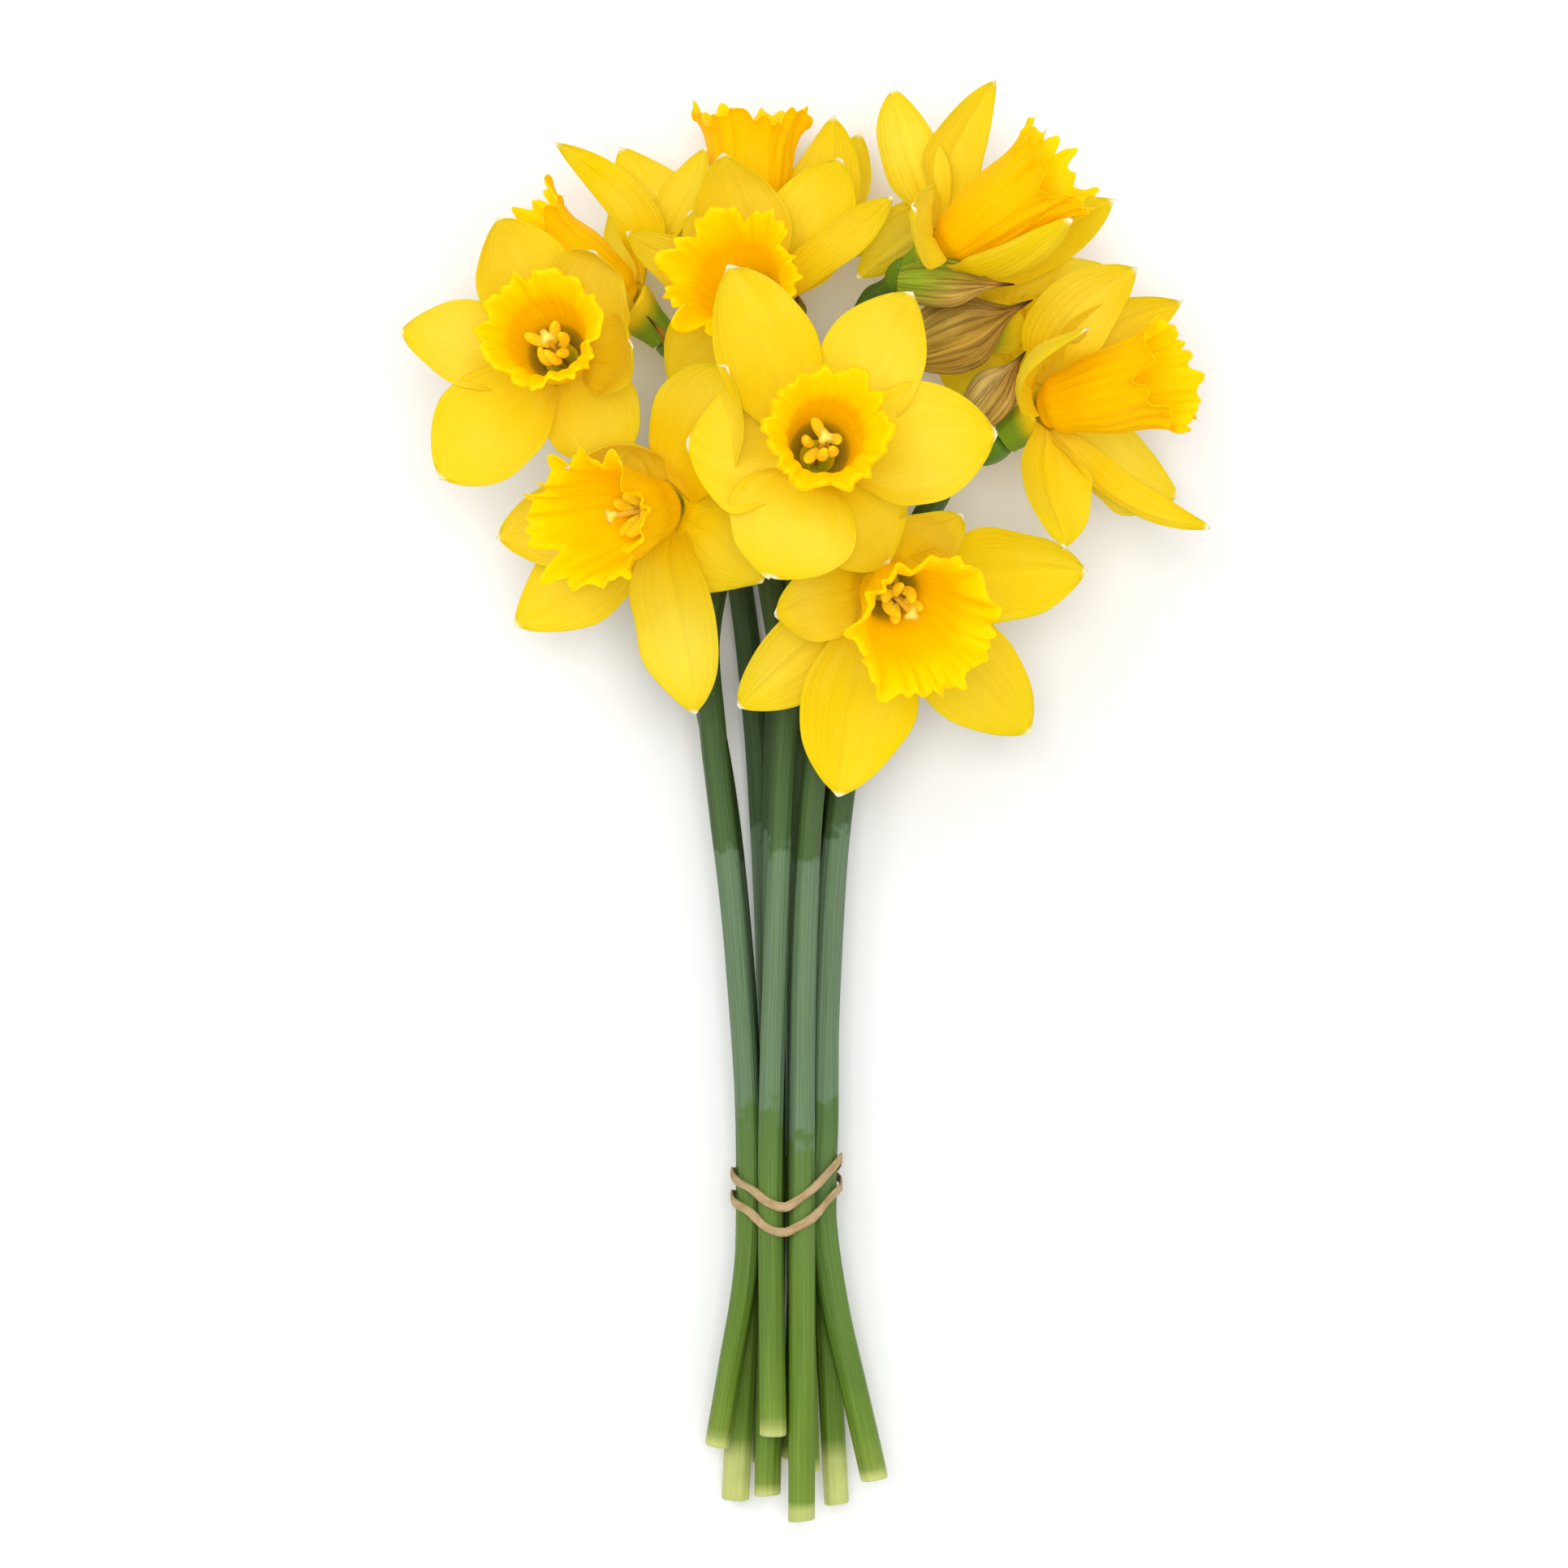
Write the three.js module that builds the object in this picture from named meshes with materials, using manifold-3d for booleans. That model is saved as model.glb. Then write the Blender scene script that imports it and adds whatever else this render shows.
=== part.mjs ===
// A bunch of ten cut trumpet daffodils, tied with raffia and lying on a flat surface.
// Millimetres, +Z up from the surface, +Y from the cut ends to the flower heads, +X to the right.
// Each flower is a stem with its ovary, a papery spathe, a ring of six tepals on a floral tube,
// a trumpet and the stamens with their style. Nothing moves.
import * as THREE from "three";
import { ParametricGeometry } from "three/addons/geometries/ParametricGeometry.js";
import { mergeVertices } from "three/addons/utils/BufferGeometryUtils.js";
import Module from "manifold-3d";

const wasm = await Module();
wasm.setup();

// Driving sizes
const CLEARANCE = 0.35; // between two pieces that touch
const STEM_R = 3.6;
const STEM_SIDES = 8;
const STALK_R = 2.3; // the thin stalk between the spathe's node and the ovary
const STALK_LENGTH = 9;
const OVARY_R = 3.7;
const OVARY_LENGTH = 9;
const TUBE_LENGTH = 16; // the floral tube, from the ovary to the throat
const TUBE_FOOT_R = 3.2;
const TUBE_MOUTH_R = 9.2;
const TUBE_WALL = 1.1;
const TEPAL_THICKNESS = 1.3;
const TEPAL_ROOT_R = 5.9; // where a tepal leaves the tube's mouth
const TEPAL_CUP = 0.16; // how far a tepal's edges rise, as a share of its half width
const TRUMPET_FOOT_R = 8.4;
const TRUMPET_WALL = 1.1;
const STAMEN_COUNT = 6;
const STAMEN_LENGTH = 27;
const STYLE_LENGTH = 34;
const STAMEN_R = 1.0;
const SPATHE_THICKNESS = 1.2;
const TIE_WIDTH = 2.4; // the raffia, flattened against the stems
const TIE_THICKNESS = 1.1;
const TIE_TAIL = 11; // each loose end beyond the knot
const TIE_Y = -111; // the middle of the tie
const TIE_REACH = 15; // the stems run straight this far each side of the tie
const TIE_DIP = 0.7; // how far the raffia drops towards the cut ends for each mm of height
const TIE_TURNS = [[5.4, 1.8], [-1.8, 0.2]]; // each turn's place along the bundle and its slant
const KNOT_TURN = -Math.PI / 4; // the knot is low on the right
const KNOT_R = 2.3;
const BUNDLE_X = 0.7;
const RING_SLOTS = 8; // stems round the outside of the bundle at the tie, with two more inside

const FINEST = 0.04; // the smallest detail kept where pieces of one mesh are joined
const SLOT_PITCH = 2 * STEM_R + CLEARANCE; // two stems side by side
const RING_R = 1.5 * SLOT_PITCH;
const RING_START = Math.PI / RING_SLOTS;
const TIE_FLAT_R = RING_R * Math.cos(RING_START) + STEM_R + CLEARANCE + 0.5 * TIE_THICKNESS;
const TIE_CORNER_R = RING_R + STEM_R + CLEARANCE + 0.5 * TIE_THICKNESS;
const BUNDLE_Z = TIE_FLAT_R + 0.5 * TIE_THICKNESS;

// Each flower: the middle of its throat; the heading and the tilt from straight up of its face and
// of its neck, the tube and ovary behind it; the trumpet's length and rim radius; its slot in the
// tie; the points its stem passes from the neck down to the tie; its cut end; six tepals as
// [heading, reach in plan, height of the tip over the throat, width]; and the spathe as
// [turn round the neck from its upper side, spread from the neck, length, width].
const FLOWERS = [
  {
    name: "centre",
    throat: [9, 87, 84],
    face: [62, 9],
    neck: [70, 14],
    trumpet: [36, 16.4],
    slot: 2,
    way: [[4, 55, 42], [0, 10, 34], [-2, -40, 29]],
    foot: [-3, -179, 25],
    tepals: [[6, 48, 4, 34], [60, 48, 12, 29], [116, 55, 12, 29], [177, 31, -36, 24], [254, 33, -10, 32], [305, 34, -8, 28]],
    spathe: [180, 10, 30, 9],
  },
  {
    name: "left",
    throat: [-60, 114.3, 62],
    face: [127, 11],
    neck: [133, 15],
    trumpet: [35, 16],
    slot: 4,
    way: [[-38, 70, 22], [-22, 25, 15], [-13.5, -30, 13]],
    foot: [-13.5, -199, 7],
    tepals: [[170, 42, 6, 26], [226, 46, 2, 31], [266, 34, -8, 28], [5, 20, 26, 24], [69, 30, 20, 27], [114, 41, 12, 28]],
    spathe: [0, 30, 30, 9],
  },
  {
    name: "low_left",
    throat: [-32.8, 74.2, 60],
    face: [194, 35],
    neck: [194, 35],
    trumpet: [36, 18],
    slot: 3,
    way: [[-21, 42, 32], [-19.5, 15, 28], [-13.5, -40, 22]],
    foot: [-18.5, -183, 15],
    tepals: [[158, 27, 24, 22], [65, 41, 28, 22], [323, 33, 0, 27], [280, 56, -6, 28], [218, 51, -12, 27], [190, 46, -10, 24]],
    spathe: [180, 6, 30, 9],
  },
  {
    name: "low_right",
    throat: [27, 53, 60],
    face: [-50, 27],
    neck: [-50, 22],
    trumpet: [37, 19.5],
    slot: 1,
    way: [[13, 36, 32], [8, 0, 31], [5.5, -50, 28]],
    foot: [4.8, -203, 21],
    tepals: [[6, 55, -6, 30], [39, 24, 22, 22], [193, 26, 18, 24], [221, 51, 0, 26], [257, 58, -8, 34], [315, 56, -14, 28]],
    spathe: [-110, 28, 27, 9],
  },
  {
    name: "right",
    throat: [72, 102, 52],
    face: [12, 60],
    neck: [35, 70],
    trumpet: [38, 15],
    slot: 0,
    way: [[31, 58, 25], [17, 5, 21.5], [12, -50, 20]],
    foot: [25, -192, 18],
    tepals: [[58, 43, 8, 24], [40, 47, -2, 24], [328, 43, -24, 26], [321, 55, 2, 18], [284, 36, 22, 24], [67, 23, 36, 26]],
    spathe: [-40, 7, 33, 13],
  },
  {
    name: "top_right",
    throat: [44.7, 144.8, 60],
    face: [34, 66],
    neck: [29, 45],
    trumpet: [38, 13.5],
    slot: 6,
    way: [[14, 90, 22], [9, 50, 11], [6, 0, 7.5], [5.2, -50, 6.5]],
    foot: [3, -188, 4.5],
    tepals: [[109, 46, -12, 24], [75, 48, -14, 24], [113, 18, 30, 24], [6, 33, 18, 24], [17, 47, -14, 24], [195, 26, -22, 24]],
    spathe: [100, 18, 34, 12],
  },
  {
    name: "upper",
    throat: [-6.8, 129, 47],
    face: [139, 18],
    neck: [139, 15],
    trumpet: [35, 17.8],
    slot: 9,
    way: [[1, 90, 17.5], [-1, 50, 17], [-2.5, 0, 16.5]],
    foot: [-4.6, -197, 14],
    tepals: [[108, 42, 14, 18], [98, 42, 16, 24], [61, 45, 8, 27], [38, 47, 10, 14], [151, 42, 6, 20], [221, 32, -4, 30]],
    spathe: [90, 16, 26, 9],
  },
  {
    name: "top",
    throat: [-9.1, 150.6, 28],
    face: [90, 82],
    neck: [84, 82],
    trumpet: [34, 15.5],
    slot: 8,
    way: [[-8, 85, 26], [-3, 45, 26], [4.6, 14, 23], [4.6, -40, 16]],
    foot: [6, -190, 14],
    tepals: [[147, 42, 12, 22], [55, 39, 8, 25], [43, 42, -8, 24], [118, 22, -18, 24], [355, 45, -10, 30], [190, 30, 2, 20]],
    spathe: [180, 4, 26, 8],
  },
  {
    name: "upper_left",
    throat: [-44.4, 132.8, 34],
    face: [146, 72],
    neck: [138, 74],
    trumpet: [34, 14.5],
    slot: 5,
    way: [[-17, 90, 13], [-13, 60, 10], [-8, 20, 8], [-4.5, -40, 6]],
    foot: [-5, -189, 4.4],
    tepals: [[113, 47, -2, 26], [98, 28, -22, 24], [200, 28, -18, 24], [45, 20, -8, 20], [262, 22, 6, 20], [165, 26, 22, 20]],
    spathe: [0, 8, 28, 8],
  },
  {
    name: "back_right",
    throat: [62, 125, 38],
    face: [20, 150],
    neck: [14, 112],
    trumpet: [32, 14.5],
    slot: 7,
    way: [[27, 98, 38], [25, 72, 14], [16, 10, 10.5], [12, -50, 11]],
    foot: [14.6, -200, 9],
    tepals: [[20, 37, -14, 26], [350, 30, -14, 24], [75, 20, -8, 24], [150, 20, -16, 24], [230, 24, -14, 28], [295, 28, -16, 26]],
    spathe: [0, 9, 36, 17],
  },
];

// Colours
const paint = (colour, roughness) => new THREE.MeshStandardMaterial({ color: colour, roughness, metalness: 0 });
const STEM_GREEN = paint(0x5f8a4a, 0.55);
const SPATHE_BROWN = paint(0xa07a4a, 0.8);
const TEPAL_YELLOW = paint(0xf7d81a, 0.5);
const TRUMPET_ORANGE = paint(0xfbbd08, 0.5);
const POLLEN = paint(0xf2a516, 0.7);
const RAFFIA = paint(0xd3a86c, 0.85);

const radians = THREE.MathUtils.degToRad;
const point = ([x, y, z]) => new THREE.Vector3(x, y, z);

// A direction from its heading in plan, from +X towards +Y, and its tilt from straight up.
function direction(heading, tilt) {
  return new THREE.Vector3().setFromSphericalCoords(1, radians(tilt), radians(heading) + Math.PI / 2)
    .applyAxisAngle(new THREE.Vector3(1, 0, 0), Math.PI / 2);
}

// The closed solid of a mesh: vertices merged, collapsed triangles dropped, faces turned outwards.
function solidOf(geometry) {
  const bare = new THREE.BufferGeometry().setAttribute("position", geometry.getAttribute("position"));
  if (geometry.index) bare.setIndex(geometry.index);
  const merged = mergeVertices(bare, 1e-3);
  const corners = [];
  for (let i = 0; i < merged.index.count; i += 3) {
    const [a, b, c] = [0, 1, 2].map((k) => merged.index.getX(i + k));
    if (a !== b && b !== c && c !== a) corners.push(a, b, c);
  }
  const build = (triVerts) => new wasm.Manifold(new wasm.Mesh({
    numProp: 3,
    vertProperties: new Float32Array(merged.attributes.position.array),
    triVerts: new Uint32Array(triVerts),
  }));
  const made = build(corners);
  return made.volume() > 0 ? made : build(corners.reverse());
}

// The named mesh of a solid. Joining can leave loose slivers beside the body, so only the body is kept.
function meshOf(name, solid, material) {
  const body = solid.decompose().reduce((a, b) => (a.volume() > b.volume() ? a : b));
  const { vertProperties, triVerts } = body.getMesh();
  const geometry = new THREE.BufferGeometry()
    .setAttribute("position", new THREE.BufferAttribute(vertProperties, 3))
    .setIndex(new THREE.BufferAttribute(triVerts, 1));
  geometry.computeVertexNormals();
  const mesh = new THREE.Mesh(geometry, material);
  mesh.name = name;
  return mesh;
}

// A closed skin: place(u, v) gives the point at u round the section and v along the length. One
// more ring at each end, shrunk to its middle, closes it.
function skin(place, sides, steps) {
  const rows = steps + 2;
  return solidOf(new ParametricGeometry((u, v, target) => {
    const row = Math.round(v * rows);
    const along = Math.min(Math.max(row - 1, 0), steps) / steps;
    target.copy(place(u % 1, along));
    if (row === 0 || row === rows) target.copy(place(0, along)).add(place(0.5, along)).multiplyScalar(0.5);
  }, sides, rows));
}

// The middle line of a flower: at a height h over the throat it runs along the face, and below the
// throat along the neck. Returns the point there and the direction square to the flower's rings.
function spine({ throat, face, neck }, h) {
  const turnedBy = Math.min(Math.max(-h / TUBE_LENGTH, 0), 1);
  return {
    middle: throat.clone().addScaledVector(h < 0 ? neck : face, h),
    normal: face.clone().lerp(neck, turnedBy).normalize(),
  };
}

// The point at radius r and angle turn round the spine at height h.
function around(flower, r, turn, h) {
  const { middle, normal } = spine(flower, h);
  const across = new THREE.Vector3(0, 0, 1).cross(normal).normalize();
  const up = normal.clone().cross(across);
  return middle.addScaledVector(across, r * Math.cos(turn)).addScaledVector(up, r * Math.sin(turn));
}

// A ring whose section is a closed profile of [radius, height] pairs, turned about the spine.
function turned(flower, profile, sides) {
  const count = profile.length;
  return solidOf(new ParametricGeometry((u, v, target) => {
    const [r, h] = profile[Math.round(v * count) % count];
    target.copy(around(flower, r, 2 * Math.PI * (u % 1), h));
  }, sides, count));
}

// A tepal's half width at s along it, as a share of its greatest half width: a waisted root,
// broadest before the middle, then a blunt point.
function tepalOutline(s) {
  const broad = 0.45;
  const root = 0.3;
  const rise = root + (1 - root) * Math.sin((Math.min(s / broad, 1) * Math.PI) / 2);
  const fall = (1 - Math.max(0, (s - broad) / (1 - broad)) ** 2.3) ** 0.8;
  return rise * fall;
}

// One tepal. Its midrib leaves the throat square to the axis and bends to its tip; heading and
// reach place the tip in plan and lift gives its height over the throat.
function tepal([heading, reach, lift, width], { throat, face }) {
  const tip = new THREE.Vector3(reach * Math.cos(radians(heading)), reach * Math.sin(radians(heading)), lift);
  const outward = tip.clone().addScaledVector(face, -tip.dot(face)).normalize();
  const root = outward.clone().multiplyScalar(TEPAL_ROOT_R);
  const bend = outward.clone().multiplyScalar(0.55 * tip.length());
  const midrib = new THREE.QuadraticBezierCurve3(root, bend, tip);
  const side = new THREE.Vector3().crossVectors(face, outward);
  return skin((u, v) => {
    const front = new THREE.Vector3().crossVectors(midrib.getTangent(v), side);
    const half = 0.5 * width * tepalOutline(v);
    const across = Math.cos(2 * Math.PI * u);
    const thick = 0.5 * TEPAL_THICKNESS * Math.sin(2 * Math.PI * u) * Math.min(1, 4 * half / width);
    return midrib.getPoint(v)
      .addScaledVector(side, across * half)
      .addScaledVector(front, thick + TEPAL_CUP * half * (across * across - 0.4))
      .add(throat);
  }, 4, 6);
}

// The floral tube, thick at its mouth where the six tepals grow from it.
function perianth(flower) {
  const top = 0.5 * TEPAL_THICKNESS + 0.35;
  const inner = TEPAL_ROOT_R - TUBE_WALL;
  const tube = turned(flower, [
    [TUBE_FOOT_R, -TUBE_LENGTH], [TUBE_FOOT_R + 0.8, -0.5 * TUBE_LENGTH], [TUBE_MOUTH_R - 1, -1.6],
    [TUBE_MOUTH_R, -0.9], [TUBE_MOUTH_R, 0.5], [TUBE_MOUTH_R - 1, top], [inner, top - 0.1], [inner, -1.8],
    [TUBE_FOOT_R - 0.4, -0.5 * TUBE_LENGTH], [TUBE_FOOT_R - TUBE_WALL, -TUBE_LENGTH],
  ], 12);
  return flower.tepals.reduce((whole, shape) => whole.add(tepal(shape, flower)), tube).simplify(FINEST);
}

function trumpet(flower) {
  const [length, rim] = flower.trumpet;
  const foot = 0.5 * TEPAL_THICKNESS + CLEARANCE + 0.8;
  const waist = TRUMPET_FOOT_R + 0.22 * (rim - TRUMPET_FOOT_R);
  const neck = 0.72 * rim;
  return turned(flower, [
    [TRUMPET_FOOT_R, foot], [waist, 0.45 * length], [neck, 0.85 * length], [rim, length],
    [neck - TRUMPET_WALL, 0.85 * length + TRUMPET_WALL], [waist - TRUMPET_WALL, 0.45 * length],
    [TRUMPET_FOOT_R - TRUMPET_WALL, foot],
  ], 14);
}

// Six stamens round the style, joined where they leave the tube.
function stamens(flower) {
  const start = -0.6 * TUBE_LENGTH;
  const rod = (lean, turn, height) => skin((u, v) => {
    const h = [start, 0, start + height][Math.round(2 * v)];
    return around(flower, lean * (h - start) / height, turn, h)
      .add(around(flower, STAMEN_R, 2 * Math.PI * u, h)).sub(spine(flower, h).middle);
  }, 4, 2);
  let whole = rod(0, 0, STYLE_LENGTH);
  for (let i = 0; i < STAMEN_COUNT; i += 1) {
    whole = whole.add(rod(3.2, (2 * Math.PI * i) / STAMEN_COUNT, STAMEN_LENGTH));
  }
  return whole.simplify(FINEST);
}

// Where a stem passes the tie: eight slots round the bundle and two inside it.
function slotPlace(slot) {
  if (slot >= RING_SLOTS) {
    const side = slot === RING_SLOTS ? 1 : -1;
    return [BUNDLE_X + 0.5 * side * SLOT_PITCH, BUNDLE_Z];
  }
  const turn = RING_START + (2 * Math.PI * slot) / RING_SLOTS;
  return [BUNDLE_X + RING_R * Math.cos(turn), BUNDLE_Z + RING_R * Math.sin(turn)];
}

// A stem from its cut end to the ovary under the floral tube.
function stem(flower) {
  const back = (distance) => spine(flower, -distance).middle;
  const top = TUBE_LENGTH + CLEARANCE;
  const node = top + OVARY_LENGTH + STALK_LENGTH;
  const [x, z] = slotPlace(flower.slot);
  const route = [
    point(flower.foot), point([x, TIE_Y - TIE_REACH, z]), point([x, TIE_Y + TIE_REACH, z]),
    ...[...flower.way].reverse().map(point), back(node), back(node - 0.5 * STALK_LENGTH),
    back(top + OVARY_LENGTH), back(top),
  ];
  const curve = new THREE.CatmullRomCurve3(route, false, "centripetal");
  curve.arcLengthDivisions = 400;
  const length = curve.getLength();
  // Rings are set where the shape changes: sparse along the straight stem, close at the ovary.
  const stations = [0, 22, 50, 76, 100, 125, 150, 175, 200, 225];
  const near = [56, 46, 40, 35, 30, 25, 20.5, 17.2, 14, 10, 6.5, 3, 0].map((d) => length - d);
  const rings = [...stations.filter((d) => d < near[0] - 8), ...near];
  const radius = (fromTop) => {
    if (fromTop < 0.3 * OVARY_LENGTH) return TUBE_FOOT_R;
    if (fromTop < OVARY_LENGTH) return OVARY_R - 0.5 * (fromTop > 0.65 * OVARY_LENGTH);
    const blend = THREE.MathUtils.smoothstep(fromTop, OVARY_LENGTH + 0.7 * STALK_LENGTH, OVARY_LENGTH + 2 * STALK_LENGTH);
    return THREE.MathUtils.lerp(STALK_R, STEM_R, blend);
  };
  const last = rings.length - 1;
  let normal = new THREE.Vector3(0, 0, 1);
  const frames = rings.map((d) => {
    const tangent = curve.getTangentAt(d / length);
    normal = normal.clone().addScaledVector(tangent, -normal.dot(tangent)).normalize();
    return { centre: curve.getPointAt(d / length), normal, binormal: tangent.clone().cross(normal), r: radius(length - d) };
  });
  return skin((u, v) => {
    const ring = frames[Math.round(v * last)];
    return ring.centre.clone()
      .addScaledVector(ring.normal, ring.r * Math.cos(2 * Math.PI * u))
      .addScaledVector(ring.binormal, ring.r * Math.sin(2 * Math.PI * u));
  }, STEM_SIDES, last);
}

// The papery spathe: a pointed blade, folded lengthwise, that stands beside the neck from the node.
function spathe(flower) {
  const [turn, spread, length, width] = flower.spathe;
  const start = -(TUBE_LENGTH + OVARY_LENGTH + STALK_LENGTH);
  const { middle, normal } = spine(flower, start);
  const side = around(flower, 1, radians(turn + 90), start).sub(middle);
  const root = middle.addScaledVector(side, STEM_R + CLEARANCE + 0.5 * SPATHE_THICKNESS);
  const along = normal.clone().multiplyScalar(Math.cos(radians(spread)))
    .addScaledVector(side, Math.sin(radians(spread)));
  const across = new THREE.Vector3().crossVectors(along, side).normalize();
  const out = new THREE.Vector3().crossVectors(across, along);
  return skin((u, v) => {
    const half = 0.5 * width * Math.sin(Math.PI * (0.16 + 0.84 * v) ** 0.8) ** 0.8;
    const c = Math.cos(2 * Math.PI * u);
    return root.clone().addScaledVector(along, length * v)
      .addScaledVector(across, c * half)
      .addScaledVector(out, 0.5 * SPATHE_THICKNESS * Math.sin(2 * Math.PI * u) - 0.3 * half * c * c + 0.1 * width);
  }, 6, 5);
}

// A point on the raffia at an angle round the bundle. It lies straight across two neighbouring
// stems and bends round each, and both turns run together at the knot.
function tiePoint([offset, slant], turn) {
  const sector = (2 * Math.PI) / RING_SLOTS;
  const fromFlat = turn - sector * Math.round(turn / sector);
  const r = Math.min(TIE_FLAT_R / Math.cos(fromFlat), TIE_CORNER_R);
  const fromKnot = Math.atan2(Math.sin(turn - KNOT_TURN), Math.cos(turn - KNOT_TURN));
  const apart = 1 - Math.exp(-((fromKnot / 0.5) ** 2));
  const height = r * Math.sin(turn);
  const y = TIE_Y - TIE_DIP * height + (offset + slant * Math.cos(turn)) * apart;
  return new THREE.Vector3(BUNDLE_X + r * Math.cos(turn), y, BUNDLE_Z + height);
}

// The raffia: two flat turns round the bundle, the knot that joins them and its two loose ends.
function tie() {
  const band = (shape) => solidOf(new ParametricGeometry((u, v, target) => {
    const turn = KNOT_TURN + 2 * Math.PI * (v % 1);
    const out = new THREE.Vector3(Math.cos(turn), 0, Math.sin(turn));
    target.copy(tiePoint(shape, turn))
      .addScaledVector(out, 0.5 * TIE_THICKNESS * Math.cos(2 * Math.PI * (u % 1)))
      .add(new THREE.Vector3(0, 0.5 * TIE_WIDTH * Math.sin(2 * Math.PI * (u % 1)), 0));
  }, 4, 32));
  const middle = tiePoint(TIE_TURNS[0], KNOT_TURN);
  middle.x += 0.5;
  const knot = solidOf(new THREE.SphereGeometry(KNOT_R, 8, 5).scale(0.8, 1.2, 0.8).translate(...middle));
  const tail = (way) => skin((u, v) => middle.clone().addScaledVector(way, TIE_TAIL * v)
    .add(new THREE.Vector3(0.5 * TIE_THICKNESS * Math.cos(2 * Math.PI * u), 0, TIE_THICKNESS * Math.sin(2 * Math.PI * u))), 4, 3);
  return [
    ...TIE_TURNS.map(band), knot, tail(new THREE.Vector3(0.12, -0.99, 0)), tail(new THREE.Vector3(0.2, 0.98, 0)),
  ].reduce((a, b) => a.add(b)).simplify(FINEST);
}

const bunch = new THREE.Group();
for (const measured of FLOWERS) {
  const flower = {
    ...measured,
    throat: point(measured.throat),
    face: direction(...measured.face),
    neck: direction(...measured.neck),
  };
  bunch.add(
    meshOf(`stem_${flower.name}`, stem(flower), STEM_GREEN),
    meshOf(`spathe_${flower.name}`, spathe(flower), SPATHE_BROWN),
    meshOf(`tepals_${flower.name}`, perianth(flower), TEPAL_YELLOW),
    meshOf(`trumpet_${flower.name}`, trumpet(flower), TRUMPET_ORANGE),
    meshOf(`stamens_${flower.name}`, stamens(flower), POLLEN),
  );
}
bunch.add(meshOf("raffia_tie", tie(), RAFFIA));

// The origin goes to the bottom centre of the bunch's box.
const box = new THREE.Box3().setFromObject(bunch, true);
const middle = box.getCenter(new THREE.Vector3());
bunch.position.set(-middle.x, -middle.y, -box.min.z);

export default bunch;
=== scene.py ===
"""A bunch of ten cut trumpet daffodils tied with raffia, lying on a pale floor, seen from above."""

import math

import bpy
import numpy as np
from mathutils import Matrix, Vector


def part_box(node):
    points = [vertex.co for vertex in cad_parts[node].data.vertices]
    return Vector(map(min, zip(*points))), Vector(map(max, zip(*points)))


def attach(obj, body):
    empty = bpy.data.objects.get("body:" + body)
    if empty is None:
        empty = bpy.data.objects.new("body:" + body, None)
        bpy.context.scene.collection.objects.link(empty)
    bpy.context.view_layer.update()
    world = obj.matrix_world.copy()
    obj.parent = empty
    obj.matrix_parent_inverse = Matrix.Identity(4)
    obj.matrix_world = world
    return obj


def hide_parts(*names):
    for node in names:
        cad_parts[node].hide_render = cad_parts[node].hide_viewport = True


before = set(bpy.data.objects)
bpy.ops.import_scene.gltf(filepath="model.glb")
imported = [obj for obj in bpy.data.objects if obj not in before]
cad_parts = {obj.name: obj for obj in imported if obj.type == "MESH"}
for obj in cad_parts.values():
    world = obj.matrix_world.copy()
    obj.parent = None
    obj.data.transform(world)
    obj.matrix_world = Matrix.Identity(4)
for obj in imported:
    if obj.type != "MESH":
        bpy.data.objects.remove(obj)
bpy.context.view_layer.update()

MM = 0.001
TURN = 2 * math.pi
BODY = "root"

# Sizes of the flowers, in millimetres
THROAT_TO_FOOT = 1.8  # from the throat to the trumpet's foot
TRUMPET_FOOT = 8.4  # the trumpet's radius at its foot
TUBE_LENGTH = 16.0
TUBE_RADII = [4.2, 4.3, 4.8, 5.6, 6.6, 7.2, 7.4, 6.8, 5.2, 3.6, 2.6, 2.2, 2.2]
TUBE_HEIGHTS = [-16, -14.5, -11.5, -8.5, -6, -4.2, -3.2, -2.4, -3.2, -6, -11, -14, -15.6]
STAMEN_LENGTH = 27.0
STYLE_LENGTH = 34.0
ANTHER_LENGTH = 8.5
OVARY_LENGTH = 9.0
OVARY_RADIUS = 3.9  # at the tube's end
OVARY_SWELL = 1.0  # how much fatter it is in its middle
OVARY_TAPER = 1.1  # how much thinner it is at the stem's end
NODE_TO_OVARY = 18.0  # from the spathe's root to the ovary
SPATHE_SPREAD = 1.2  # how much wider the paper is than its CAD blade
TEPAL_ROOT = 5.9
TEPAL_LAYER = 1.5  # how far each ring of three stands off the middle between the rings
TEPAL_WALL = 0.55
TRUMPET_WALL = 0.7
SPATHE_WALL = 0.4

# The raffia and the stems inside it, in millimetres and radians
RAFFIA_WIDTH = 2.5
RAFFIA_WALL = 0.95
TIED_STEM = 3.6  # a stem's radius there
TIED_GAP = 0.35  # between the stems, and from a stem to the raffia
TIED_HALF_WALL = 0.55  # half the raffia's wall in the frame
TIED_SIDES = 8  # the bundle's stems make an eight-sided outline
KNOT_TURN = -math.pi / 4  # where the knot sits round the bundle
KNOT_SPREAD = 0.5  # the angle over which the two turns draw together at the knot
KNOT_OUT = 0.5  # how far the knot stands off the strands
LOOSE_END = 11.0
TIE_DIP = 0.7  # how far the turns sag towards the cut ends on top, as a share of their radius

# The stems' colours are spread over this length from the cut, in millimetres, and their grey
# bloom lies between these two places in Y
STEM_SCALE = 300
BLOOM = (-78 * MM, -9 * MM)

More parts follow.
